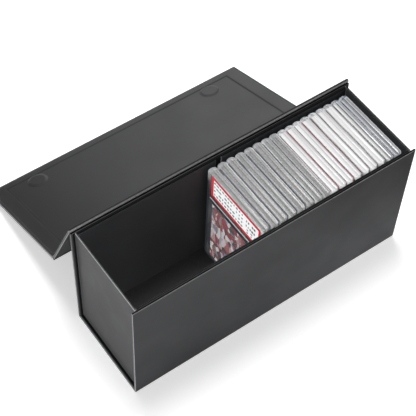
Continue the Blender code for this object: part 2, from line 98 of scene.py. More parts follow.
class Net:
    """A short way to add and join nodes in one tree."""

    def __init__(self, tree: Tree) -> None:
        """Keep the tree that the nodes go into."""
        self.tree = tree

    def feed(self, source: Socket | float | Sequence[float], target: Socket) -> None:
        """Join a socket to a target, or set the target's own value.

        Args:
            source: A socket or a plain value.
            target: The input that takes it.
        """
        if isinstance(source, Socket):
            self.tree.links.new(source, target)
        else:
            target.default_value = source

    def fill(self, node: Node, **values: Socket | float | Sequence[float]) -> Node:
        """Feed a node's inputs by name.

        Args:
            node: The node.
            **values: What each input takes, with underscores for spaces.

        Returns:
            The same node.
        """
        for label, value in values.items():
            self.feed(value, node.inputs[label.replace("_", " ")])
        return node

    def add(self, kind: str, **values: Socket | float | Sequence[float]) -> Node:
        """Add a node of this kind and feed its inputs by name."""
        return self.fill(self.tree.nodes.new(kind), **values)

    def math(
        self, operation: str, first: Socket | float, second: Socket | float = 0.0,
        third: Socket | float = 0.0,
    ) -> Socket:
        """Add a math node.

        Args:
            operation: Blender's name of the operation.
            first: The first value or the socket that gives it.
            second: The second value or socket.
            third: The third value or socket, where the operation reads one.

        Returns:
            The node's output socket.
        """
        node = self.add("ShaderNodeMath")
        node.operation = operation
        for value, socket in zip((first, second, third), node.inputs):
            self.feed(value, socket)
        return node.outputs[0]

    def span(
        self, value: Socket, low: float, high: float, to_low: float = 0.0, to_high: float = 1.0
    ) -> Socket:
        """Map a value from one span to another, held within it.

        Args:
            value: The socket to map.
            low: Start of the span that is read.
            high: End of the span that is read.
            to_low: Result at the start.
            to_high: Result at the end.

        Returns:
            The mapped socket.
        """
        return self.add(
            "ShaderNodeMapRange", Value=value, From_Min=low, From_Max=high, To_Min=to_low, To_Max=to_high
        ).outputs["Result"]

    def noise(self, position: Socket, scale: Socket | float, detail: float, roughness: float) -> Socket:
        """Add a noise texture.

        Args:
            position: The coordinate it reads.
            scale: Its scale, or the socket that gives it.
            detail: Octaves of detail.
            roughness: How strong the fine octaves are.

        Returns:
            The noise, from 0 to 1.
        """
        return self.add(
            "ShaderNodeTexNoise", Vector=position, Scale=scale, Detail=detail, Roughness=roughness
        ).outputs["Fac"]

    def cells(self, position: Socket, scale: Socket | float) -> Outputs:
        """Add a cell texture and return its outputs."""
        return self.add("ShaderNodeTexVoronoi", Vector=position, Scale=scale).outputs

    def parts(self, vector: Socket) -> Outputs:
        """Split a vector and return its X, Y and Z."""
        return self.add("ShaderNodeSeparateXYZ", Vector=vector).outputs

    def stretched(self, position: Socket, scale: Triple) -> Socket:
        """Stretch a coordinate by a factor on each axis."""
        return self.add("ShaderNodeMapping", Vector=position, Scale=scale).outputs["Vector"]

    def bump(self, height: Socket, strength: float, distance: float) -> Socket:
        """Turn a height into a normal."""
        node = self.add("ShaderNodeBump", Strength=strength, Distance=distance, Height=height)
        return node.outputs["Normal"]

    def attribute(self, name: str) -> Socket:
        """Return a vertex attribute's value."""
        node = self.add("ShaderNodeAttribute")
        node.attribute_name = name
        return node.outputs["Fac"]

    def mix(self, factor: Socket | float, first: Socket | Colour, second: Socket | Colour) -> Socket:
        """Mix two colours.

        Args:
            factor: Share of the second colour.
            first: A colour or the socket that gives it.
            second: A colour or the socket that gives it.

        Returns:
            The mixed colour's socket.
        """
        node = self.add("ShaderNodeMix")
        node.data_type = "RGBA"
        self.feed(factor, node.inputs[0])
        for value, socket in ((first, node.inputs[6]), (second, node.inputs[7])):
            self.feed(value if isinstance(value, Socket) else (*value, 1.0), socket)
        return node.outputs[2]

    def ramp(self, value: Socket, stops: Stops) -> Socket:
        """Colour a value by stops along a ramp.

        Args:
            value: The socket that is coloured.
            stops: Places from 0 to 1, each with its colour.

        Returns:
            The colour's socket.
        """
        node = self.add("ShaderNodeValToRGB", Fac=value)
        band = node.color_ramp
        while len(band.elements) > 1:
            band.elements.remove(band.elements[-1])
        band.elements[0].position = stops[0][0]
        band.elements[0].color = (*stops[0][1], 1.0)
        for place, colour in stops[1:]:
            band.elements.new(place).color = (*colour, 1.0)
        return node.outputs["Color"]

    def edge_distance(self, uv: Socket, size: Point) -> Socket:
        """Measure how far a place is inside the nearest edge of a sheet that is mapped from 0 to 1.

        Args:
            uv: The sheet's UV coordinate.
            size: The sheet's width and height.

        Returns:
            The distance in metres.
        """
        places, reach = self.parts(uv), []
        for axis, length in zip("XY", size):
            centred = self.math("ABSOLUTE", self.math("SUBTRACT", places[axis], 0.5))
            reach.append(self.math("MULTIPLY", self.math("SUBTRACT", 0.5, centred), length))
        return self.math("MINIMUM", *reach)

    def group(self, tree: Tree, position: Socket, **values: Socket | float) -> Outputs:
        """Place a shared group.

        Args:
            tree: The group.
            position: The coordinate it reads.
            **values: The group's other inputs, with underscores for spaces.

        Returns:
            The group's outputs.
        """
        node = self.add("ShaderNodeGroup")
        node.node_tree = tree
        return self.fill(node, Position=position, **values).outputs


class ShaderGroups:
    """The effects that several finishes share, each built once as a node group."""

    def __init__(self) -> None:
        """Build every group."""
        self.paper_tooth = self._paper_tooth()
        self.rubbed_and_highlit_edge = self._rubbed_edge()
        self.handling = self._handling()

    @staticmethod
    def _start(name: str, inputs: dict[str, float], outputs: Sequence[str]) -> tuple[Net, Node, Node]:
        """Start a group with a position input and named float sockets.

        Args:
            name: The group's name.
            inputs: The float inputs' default values by name.
            outputs: Names of the float outputs.

        Returns:
            The group's net, its input node and its output node.
        """
        tree = bpy.data.node_groups.new(name, "ShaderNodeTree")
        socket = tree.interface.new_socket
        socket("Position", in_out="INPUT", socket_type="NodeSocketVector")
        for label, value in inputs.items():
            socket(label, in_out="INPUT", socket_type="NodeSocketFloat").default_value = value
        for label in outputs:
            socket(label, in_out="OUTPUT", socket_type="NodeSocketFloat")
        net = Net(tree)
        return net, net.add("NodeGroupInput"), net.add("NodeGroupOutput")

    def _paper_tooth(self) -> Tree:
        """Return the group for the fine tooth and the faint clouding of laminated paper."""
        inputs = {"Tooth Scale": 1.0, "Cloud Scale": 1.0}
        net, start, end = self._start("paper_tooth", inputs, ("Height", "Cloud"))
        position, scale = start.outputs["Position"], start.outputs["Tooth Scale"]
        fine = net.noise(position, scale, 2.0, 0.6)
        height = net.math("MULTIPLY_ADD", net.cells(position, scale)["Distance"], 0.45, fine)
        net.fill(end, Height=height, Cloud=net.noise(position, start.outputs["Cloud Scale"], 3.0, 0.55))
        return net.tree

    def _rubbed_edge(self) -> Tree:
        """Return the group that breaks a clean edge mask into the uneven rub of a handled edge, lighter both
        from wear and as painted highlight.
        """
        net, start, end = self._start("rubbed_and_highlit_edge", {"Edge": 0.0, "Strength": 1.0}, ("Mask",))
        broken = net.noise(start.outputs["Position"], 420.0, 3.0, 0.6)
        worn = net.math("MULTIPLY", start.outputs["Edge"], net.span(broken, 0.30, 0.62, 0.55, 1.0))
        net.fill(end, Mask=net.math("MULTIPLY", worn, start.outputs["Strength"]))
        return net.tree

    def _handling(self) -> Tree:
        """Return the group for smudges from hands and for settled dust."""
        net, start, end = self._start("handling", {"Amount": 1.0}, ("Smudge", "Dust"))
        position, amount = start.outputs["Position"], start.outputs["Amount"]
        smudge = net.span(net.noise(position, 26.0, 4.0, 0.6), 0.46, 0.70)
        dust = net.span(net.cells(position, 170.0)["Distance"], 0.05, 0.02)
        net.fill(end, Smudge=net.math("MULTIPLY", smudge, amount), Dust=net.math("MULTIPLY", dust, amount))
        return net.tree


class Surface(Net):
    """The nodes of one material, with the shared groups and the coordinates that it reads."""

    def __init__(self, name: str, groups: ShaderGroups | None = None) -> None:
        """Start a material.

        Args:
            name: The material's name.
            groups: The shared node groups, where it uses any.
        """
        self.material = bpy.data.materials.new(name)
        self.material.use_nodes = True
        super().__init__(self.material.node_tree)
        self.groups = groups
        places = self.add("ShaderNodeTexCoord").outputs
        self.position, self.uv = places["Object"], places["UV"]

    def shade(self, **values: Socket | float | Sequence[float]) -> None:
        """Feed the Principled shader's inputs by name."""
        self.fill(self.tree.nodes["Principled BSDF"], **values)

    def smudge(self) -> Socket:
        """Place the handling group and return its mask of smudges."""
        return self.group(self.groups.handling, self.position, Amount=1.0)["Smudge"]


def toned(colour: Colour, factor: float) -> Colour:
    """Return a colour made darker or lighter by a factor."""
    return tuple(channel * factor for channel in colour)


# Finishes


@dataclass(frozen=True)
class Finish:
    """One finish. Each kind below says how it joins the nodes of its material."""

    name: str

    def build(self, groups: ShaderGroups) -> Material:
        """Build the material.

        Args:
            groups: The shared node groups.

        Returns:
            The material.
        """
        surface = Surface(self.name, groups)
        self.dress(surface)
        return surface.material

    def dress(self, net: Surface) -> None:
        """Join the nodes of this finish."""
        raise NotImplementedError


@dataclass(frozen=True)
class PaperFinish(Finish):
    """Laminated paper over board: near black, with a fine tooth, faint clouding, and edges lightened
    both by wear and by painted highlight.

    The paper has the painted light colour at the start of its span along the painted light's direction,
    and its own colour from the span's end on: a painted gradient of shade and light. Where it is pressed
    down it is duller, and darker by painted shade in the pressed groove. The tooth is the depth of its grain.
    """

    colour: Colour
    edge_colour: Colour
    roughness: float
    edge_strength: float = 1.0
    tooth: float = 0.00002
    tooth_strength: float = 0.5
    tooth_scale: float = 5200.0
    cloud_scale: float = 14.0
    cloud_tones: Span = (0.90, 1.12)
    fibre_scale: float = 900.0
    fibre_stretch: Triple = (1.0, 3.0, 3.0)
    fibre_share: float = 0.12
    sheen_shift: float = 0.10
    grain_shift: float = 0.05
    dust: float = 0.5
    dust_share: float = 0.25
    dust_colour: Colour = (0.30, 0.30, 0.30)
    press_shade: float = 0.45
    press_dulling: float = 0.35
    gloss: float = 0.3
    painted_light_along: Triple = (0.0, 0.0, 1.0)
    painted_light_span: Span = (-1.0, -0.9)
    painted_light_colour: Colour = BLACK

    def dress(self, net: Surface) -> None:
        """Join the nodes of the paper.

        Args:
            net: The material's nodes.
        """
        groups, position = net.groups, net.position
        paper = net.group(
            groups.paper_tooth, position, Tooth_Scale=self.tooth_scale, Cloud_Scale=self.cloud_scale
        )
        rub = net.group(groups.rubbed_and_highlit_edge, position, Edge=net.attribute(WEAR_AND_HIGHLIGHT), Strength=self.edge_strength)
        marks = net.group(groups.handling, position, Amount=self.dust)
        darker, lighter = (toned(self.colour, tone) for tone in self.cloud_tones)
        clouded = net.mix(net.span(paper["Cloud"], 0.35, 0.65), darker, lighter)
        fibre = net.noise(net.stretched(position, self.fibre_stretch), self.fibre_scale, 4.0, 0.7)
        fibred = net.mix(net.span(fibre, 0.5, 0.8, 0.0, self.fibre_share), clouded, self.edge_colour)
        # painted light: the colour grades along a direction in object space, a painted gradient of shade and
        # light
        along = net.add("ShaderNodeVectorMath")
        along.operation = "DOT_PRODUCT"
        net.feed(position, along.inputs[0])
        net.feed(self.painted_light_along, along.inputs[1])
        faded = net.mix(net.span(along.outputs["Value"], *self.painted_light_span, 1.0, 0.0), fibred, self.painted_light_colour)
        # painted shade: the paper is darkened where the lining is pressed down
        pressed = net.attribute(PRESSED)
        lined = net.mix(net.math("MULTIPLY", pressed, self.press_shade), faded, BLACK)
        rubbed = net.mix(rub["Mask"], lined, self.edge_colour)
        dusted = net.mix(net.math("MULTIPLY", marks["Dust"], self.dust_share), rubbed, self.dust_colour)
        smooth = net.math("MULTIPLY_ADD", marks["Smudge"], -self.sheen_shift, self.roughness)
        dulled = net.math("MULTIPLY_ADD", pressed, self.press_dulling, smooth)
        grain = net.span(paper["Height"], 0.2, 1.0, -self.grain_shift, self.grain_shift)
        net.shade(
            Base_Color=dusted,
            Roughness=net.math("ADD", dulled, grain),
            Specular_IOR_Level=self.gloss,
            Normal=net.bump(paper["Height"], self.tooth_strength, self.tooth),
        )


@dataclass(frozen=True)
class MetalFinish(Finish):
    """Plated or plain steel with fine turned marks and a few stains."""

    colour: Colour
    roughness: float
    marks: float = 0.08
    stain: float = 0.72

    def dress(self, net: Surface) -> None:
        """Join the nodes of the metal.

        Args:
            net: The material's nodes.
        """
        lines = net.noise(net.stretched(net.position, (1.0, 14.0, 1.0)), 700.0, 3.0, 0.6)
        stained = net.math("MULTIPLY", net.smudge(), 0.5)
        net.shade(
            Base_Color=net.mix(stained, self.colour, toned(self.colour, self.stain)),
            Metallic=1.0,
            Roughness=net.span(lines, 0.3, 0.7, self.roughness - self.marks, self.roughness + self.marks),
            Normal=net.bump(lines, 0.2, 0.00001),
        )


class SlabTone(Enum):
    """How a slab's moulded rim looks from above."""

    FROSTED = "frosted"
    WHITE = "white"
    CLEAR = "clear"


@dataclass(frozen=True)
class RimFinish(Finish):
    """Moulded clear plastic seen through its rim: bands of light and shade across the thickness.

    The bands drift sideways by the waver, and the jump is how far they step where the light through
    them breaks. The cap is how strongly the clear back corner shows beyond the paper inside. Below
    the top edge the rim is painted dark, a painted shade that stands in for the shaded tray seen
    through clear plastic.
    """

    bands: Stops
    roughness: float = 0.34
    grain: float = 0.42
    shade_colour: Colour = (0.05, 0.05, 0.05)
    frost_colour: Colour = (0.95, 0.95, 0.95)
    waver: float = 0.018
    jump: float = 0.0
    jump_scale: float = 27.0
    jump_pitch: float = 0.09
    cap: float = 0.0
    cap_colour: Colour = (0.30, 0.31, 0.33)
    cap_light: Colour = (0.66, 0.67, 0.69)
    cap_start: float = 0.0372
    cap_blend: float = 0.0007
    clear_colour: Colour = (0.022, 0.025, 0.030)
    clear_span: Span = (0.126, 0.137)
    alpha: float = 1.0

    def dress(self, net: Surface) -> None:
        """Join the nodes of the rim.

        Args:
            net: The material's nodes.
        """
        position = net.position
        drift = net.span(net.noise(position, 34.0, 2.0, 0.5), 0.3, 0.7, -self.waver, self.waver)
        broken = net.math("SNAP", net.noise(position, self.jump_scale, 1.0, 0.4), self.jump_pitch)
        stepped = net.math("MULTIPLY_ADD", net.math("SUBTRACT", broken, 0.45), self.jump, drift)
        banded = net.ramp(net.math("ADD", net.parts(net.uv)["X"], stepped), self.bands)
        frost = net.noise(net.stretched(position, (1.3, 1.0, 1.0)), 780.0, 3.0, 0.7)
        speck = net.span(frost, 0.33, 0.67)
        dark = net.math("MULTIPLY", net.math("SUBTRACT", 1.0, speck), self.grain)
        shaded = net.mix(dark, banded, self.shade_colour)
        frosted = net.mix(net.math("MULTIPLY", speck, 0.5 * self.grain), shaded, self.frost_colour)
        place = net.parts(position)
        beyond = net.span(place["Y"], self.cap_start, self.cap_start + self.cap_blend)
        corner = net.span(net.noise(position, 420.0, 2.0, 0.6), 0.38, 0.62)
        cap_look = net.mix(corner, self.cap_colour, self.cap_light)
        capped = net.mix(net.math("MULTIPLY", beyond, self.cap), frosted, cap_look)
        net.shade(
            Base_Color=net.mix(net.span(place["Z"], *self.clear_span, 1.0, 0.0), capped, self.clear_colour),
            Roughness=net.math("MULTIPLY_ADD", net.smudge(), 0.14, self.roughness),
            Normal=net.bump(frost, 0.25, 0.00003),
            Coat_Weight=0.2,
            Coat_Roughness=0.12,
            Alpha=self.alpha,
        )


@dataclass(frozen=True)
class WindowFinish(Finish):
    """The clear window of a slab: see-through and glossy, with hairline scratches and smudges.

    The alpha and the roughness each run from the clean window's to that of a scratch.
    """

    tint: Colour = (0.86, 0.90, 0.94)
    haze_colour: Colour = (0.95, 0.95, 0.96)
    alpha: Span = (0.016, 0.08)
    roughness: Span = (0.04, 0.22)

    def dress(self, net: Surface) -> None:
        """Join the nodes of the window.

        Args:
            net: The material's nodes.
        """
        hairs = net.noise(net.stretched(net.position, (1.0, 1.0, 24.0)), 260.0, 2.0, 0.5)
        haze = net.math("MAXIMUM", net.span(hairs, 0.68, 0.74), net.math("MULTIPLY", net.smudge(), 0.35))
        net.shade(
            Base_Color=net.mix(haze, self.tint, self.haze_colour),
            Alpha=net.span(haze, 0.0, 1.0, *self.alpha),
            Roughness=net.span(haze, 0.0, 1.0, *self.roughness),
        )


@dataclass(frozen=True)
class LabelFinish(Finish):
    """A printed paper label with a plain coloured border."""

    border_colour: Colour
    paper_colour: Colour = (0.96, 0.96, 0.96)
    border: float = 0.0036
    blur: float = 0.0001

    def dress(self, net: Surface) -> None:
        """Join the nodes of the label.

        Args:
            net: The material's nodes.
        """
        from_edge = net.edge_distance(net.uv, LABEL_SIZE)
        inside = net.span(from_edge, self.border - self.blur, self.border + self.blur)
        fibre = net.noise(net.position, 1600.0, 4.0, 0.7)
        aged = toned(self.paper_colour, 0.90)
        paper = net.mix(net.span(fibre, 0.4, 0.7, 0.0, 0.5), self.paper_colour, aged)
        net.shade(
            Base_Color=net.mix(inside, self.border_colour, paper),
            Specular_IOR_Level=0.15,
            Roughness=net.span(net.smudge(), 0.0, 1.0, 0.52, 0.40),
            Normal=net.bump(fibre, 0.2, 0.00001),
        )


@dataclass(frozen=True)
class InkFinish(Finish):
    """Dark printing ink with faint mottling."""

    colour: Colour
    faded: Colour

    def dress(self, net: Surface) -> None:
        """Join the nodes of the ink.

        Args:
            net: The material's nodes.
        """
        mottle = net.span(net.noise(net.position, 700.0, 3.0, 0.6), 0.4, 0.62)
        net.shade(
            Base_Color=net.mix(mottle, self.colour, self.faded),
            Roughness=net.span(net.smudge(), 0.0, 1.0, 0.5, 0.38),
        )


@dataclass(frozen=True)
class CardFinish(Finish):
    """A printed card: a dark frame round a generic pattern of broken colour."""

    stops: Stops
    frame_colour: Colour = (0.020, 0.022, 0.026)
    frame: float = 0.0012
    blur: float = 0.00015
    bend: float = 0.035
    cell_scale: float = 138.0
    dot_colour: Colour = (0.7, 0.68, 0.66)

    def dress(self, net: Surface) -> None:
        """Join the nodes of the card.

        Args:
            net: The material's nodes.
        """
        from_edge = net.edge_distance(net.uv, CARD_SIZE)
        inside = net.span(from_edge, self.frame - self.blur, self.frame + self.blur)
        bent = net.add("ShaderNodeMix")
        bent.data_type = "VECTOR"
        net.feed(self.bend, bent.inputs[0])
        net.feed(net.stretched(net.position, (1.0, 1.7, 0.8)), bent.inputs[4])
        net.feed(net.noise(net.position, 34.0, 2.0, 0.5).node.outputs["Color"], bent.inputs[5])
        shade = net.parts(net.cells(bent.outputs[1], self.cell_scale)["Color"])["X"]
        dots = net.span(net.noise(net.position, 1500.0, 2.0, 0.6), 0.45, 0.7, 0.0, 0.25)
        dotted = net.mix(dots, net.ramp(shade, self.stops), self.dot_colour)
        net.shade(
            Base_Color=net.mix(inside, self.frame_colour, dotted),
            Roughness=net.span(net.smudge(), 0.0, 1.0, 0.30, 0.18),
        )


# Mesh tools


@dataclass(frozen=True)
class Corner:
    """A corner of an outline, with its rounding and its rub from 0 to 1: how much edge wear and painted
    highlight it gets.
    """

    place: Point
    radius: float
    rub: float = 1.0


def rounded_outline(corners: Sequence[Corner], support: float, steps: int) -> list[tuple[Vector, float]]:
    """Round the corners of a closed outline and set a guard point beside each, so that flats stay flat.

    Args:
        corners: The outline's corners in order.
        support: Distance of the guard points from the rounding.
        steps: Faces along each rounding.

    Returns:
        Each point with its rub, from 0 to 1.
    """
    room = 0.45  # the share of a side that one corner and its guard point may take
    side_rub, crown_rub = 0.55, 0.45
    points: list[tuple[Vector, float]] = []
    for index, corner in enumerate(corners):
        here = Vector(corner.place)
        back = Vector(corners[index - 1].place) - here
        ahead = Vector(corners[(index + 1) % len(corners)].place) - here
        back_length, ahead_length = back.length, ahead.length
        back.normalize()
        ahead.normalize()
        half = 0.5 * back.angle(ahead)
        reach = corner.radius / math.tan(half)
        centre = here + (back + ahead).normalized() * corner.radius / math.sin(half)
        first, last = here + back * reach - centre, here + ahead * reach - centre
        turn = first.angle_signed(last)
        if reach + support < room * back_length:
            points.append((here + back * (reach + support), 0.0))
        for step in range(steps + 1):
            share = step / steps
            spoke = first.copy()
            spoke.rotate(Matrix.Rotation(-turn * share, 2))
            points.append((centre + spoke, corner.rub * (side_rub + crown_rub * math.sin(math.pi * share))))
        if reach + support < room * ahead_length:
            points.append((here + ahead * (reach + support), 0.0))
    return points


def inset_outline(points: Sequence[Vector], distance: float) -> list[Vector]:
    """Move every point of a closed outline inwards.

    Args:
        points: The outline's points in order.
        distance: How far its sides move.

    Returns:
        The moved points.
    """
    count = len(points)
    area = sum(points[i - 1].cross(points[i]) for i in range(count))
    side = 1.0 if area > 0.0 else -1.0
    moved = []
    for index, here in enumerate(points):
        before = (here - points[index - 1]).normalized()
        after = (points[(index + 1) % count] - here).normalized()
        inward = Vector((-(before.y + after.y), before.x + after.x)) * side
        inward.normalize()
        slant = max(0.5, inward.dot(Vector((-before.y, before.x)) * side))
        moved.append(here + inward * distance / slant)
    return moved


class MeshDraft:
    """Vertices and faces on their way to one piece, each vertex with its rub: its edge wear and painted
    highlight.
    """

    def __init__(self, mapped: bool = False) -> None:
        """Start an empty draft.

        Args:
            mapped: Whether its faces carry a UV map.
        """
        self.mesh = bmesh.new()
        self.rub = self.mesh.verts.layers.float.new(WEAR_AND_HIGHLIGHT)
        self.pressed = self.mesh.verts.layers.float.new(PRESSED)
        self.uv = self.mesh.loops.layers.uv.new("UVMap") if mapped else None

    def vertex(self, place: Sequence[float], rub: float = 0.0) -> bmesh.types.BMVert:
        """Add a vertex with its rub."""
        made = self.mesh.verts.new(place)
        made[self.rub] = rub
        return made

    def face(self, ring: Ring, slot: int = 0, uvs: Sequence[Point] = ()) -> None:
        """Add a face.

        Args:
            ring: Its vertices in order.
            slot: Its material slot.
            uvs: Its UV points, where the draft is mapped.
        """
        made = self.mesh.faces.new(ring)
        made.material_index = slot
        made.smooth = True
        for loop, place in zip(made.loops, uvs):
            loop[self.uv].uv = place

    def band(self, first: Ring, second: Ring) -> None:
        """Join two closed rings of the same length by faces."""
        for index in range(len(first)):
            self.face((first[index - 1], first[index], second[index], second[index - 1]))

    def tube(self, rings: Sequence[Ring]) -> None:
        """Join closed rings of the same length into a tube, and close its ends.

        Args:
            rings: The rings in order.
        """
        for first, second in zip(rings, rings[1:]):
            self.band(first, second)
        self.face(list(reversed(rings[0])))
        self.face(rings[-1])

    def block(self, low: Sequence[float], high: Sequence[float], radius: float, slot: int = 0) -> None:
        """Add a box with bevelled edges.

        Args:
            low: Its lowest corner.
            high: Its highest corner.
            radius: The bevel's radius.
            slot: Its material slot.
        """
        box = bmesh.ops.create_cube(self.mesh, size=1.0)["verts"]
        low_corner, high_corner = Vector(low), Vector(high)
        size = high_corner - low_corner
        for vertex in box:
            unit = vertex.co + Vector((0.5, 0.5, 0.5))
            vertex.co = low_corner + Vector((unit.x * size.x, unit.y * size.y, unit.z * size.z))
        edges = {edge for vertex in box for edge in vertex.link_edges}
        made = bmesh.ops.bevel(
            self.mesh, geom=list(edges), offset=radius, segments=2, profile=0.5, affect="EDGES",
            clamp_overlap=True,
        )
        touched = {face for vertex in made["verts"] for face in vertex.link_faces}
        for face in touched | set(made["faces"]):
            face.material_index = slot
            face.smooth = True
            if face in made["faces"]:
                for vertex in face.verts:
                    vertex[self.rub] = 0.8

    def build(
        self, name: str, materials: Sequence[Material], turn: Matrix | None = None, sharp: float = 40.0
    ) -> Piece:
        """Turn the draft into an object at the origin.

        Args:
            name: The piece's name.
            materials: Its material slots.
            turn: Where the mesh is placed, or None to leave it.
            sharp: Angle in degrees above which an edge shades hard.

        Returns:
            The new object.
        """
        if turn is not None:
            bmesh.ops.transform(self.mesh, matrix=turn, verts=self.mesh.verts)
        bmesh.ops.recalc_face_normals(self.mesh, faces=self.mesh.faces)
        data = bpy.data.meshes.new(name)
        self.mesh.to_mesh(data)
        self.mesh.free()
        for material in materials:
            data.materials.append(material)
        data.set_sharp_from_angle(angle=math.radians(sharp))
        made = bpy.data.objects.new(name, data)
        bpy.context.scene.collection.objects.link(made)
        return made


@dataclass(frozen=True)
class Board:
    """A wrapped board: an outline in the Y-Z plane drawn out along X, its ends rounded like its edges."""

    corners: tuple[Corner, ...]
    span: Span
    end_radius: float = 0.0004
    end_steps: int = 3
    support: float = 0.0004
    steps: int = 4
    ledge: float = 0.0

    def stations(self) -> list[Triple]:
        """Return the rings of one end, with one more at the ledge's distance from it.

        Returns:
            Each ring's reach from the end, its inset and its rub.
        """
        made = []
        for step in range(self.end_steps + 1):
            angle = 0.5 * math.pi * step / self.end_steps
            reach = self.end_radius * (1.0 - math.cos(angle))
            inset = self.end_radius * (1.0 - math.sin(angle))
            made.append((reach, inset, math.sin(2.0 * angle) + 0.55 * step / self.end_steps))
        made.append((self.end_radius + self.support, 0.0, 0.0))
        if self.ledge > self.end_radius + self.support:
            made.append((self.ledge, 0.0, 0.0))
        return made

    def draft(self) -> MeshDraft:
        """Draw the board.

        Returns:
            The draft.
        """
        draft = MeshDraft()
        outline = rounded_outline(self.corners, self.support, self.steps)
        flat = [place for place, _ in outline]
        near = self.stations()
        far = [(-reach, inset, rub) for reach, inset, rub in reversed(near)]
        rings = []
        for base, stations in zip(self.span, (near, far)):
            for reach, inset, rub in stations:
                places = inset_outline(flat, inset) if inset > 0.0 else flat
                share = 1.0 - inset / self.end_radius
                rings.append([
                    draft.vertex((base + reach, place.x, place.y), max(rub, own * share))
                    for place, (_, own) in zip(places, outline)
                ])
        draft.tube(rings)
        return draft


def box_corners(low: Point, high: Point, radius: float, rubs: Sequence[float]) -> tuple[Corner, ...]:
    """Return the four corners of an upright rectangle in the Y-Z plane.

    Args:
        low: Lowest Y and Z.
        high: Highest Y and Z.
        radius: Rounding of every corner.
        rubs: How rubbed the corners are, from the lowest one round by high Y.

    Returns:
        The corners in order.
    """
    places = (low, (high[0], low[1]), high, (low[0], high[1]))
    return tuple(Corner(place, radius, rub) for place, rub in zip(places, rubs))


def swap_axes(across: Vector, deep: Vector, rise: Vector, origin: Vector | None = None) -> Matrix:
    """Return the placement whose X, Y and Z run along the given directions.

    Args:
        across: Direction of its X.
        deep: Direction of its Y.
        rise: Direction of its Z.
        origin: Where its origin is, or None to leave it in place.

    Returns:
        The placement.
    """
    turn = Matrix((across, deep, rise)).transposed().to_4x4()
    if origin is not None:
        turn.translation = origin
    return turn


def graded_lines(start: float, end: float, pitch: float, fine: Sequence[Triple]) -> list[float]:
    """Return grid lines from start to end, closer together in the fine spans.

    Args:
        start: First line.
        end: Last line.
        pitch: Largest distance between lines.
        fine: Spans as low end, high end and their own pitch.

    Returns:
        The lines in rising order.
    """
    closest = 0.00012
    lines = {start, end}
    for low, high, step in ((start, end, pitch), *fine):
        count = max(1, math.ceil((high - low) / step))
        lines.update(low + (high - low) * index / count for index in range(count + 1))
    kept: list[float] = []
    for line in sorted(line for line in lines if start <= line <= end):
        if not kept or line - kept[-1] > closest:
            kept.append(line)
    kept[-1] = end
    return kept


def smooth_step(value: float, low: float, high: float) -> float:
    """Rise smoothly from 0 at low to 1 at high."""
    share = min(1.0, max(0.0, (value - low) / (high - low)))
    return share * share * (3.0 - 2.0 * share)


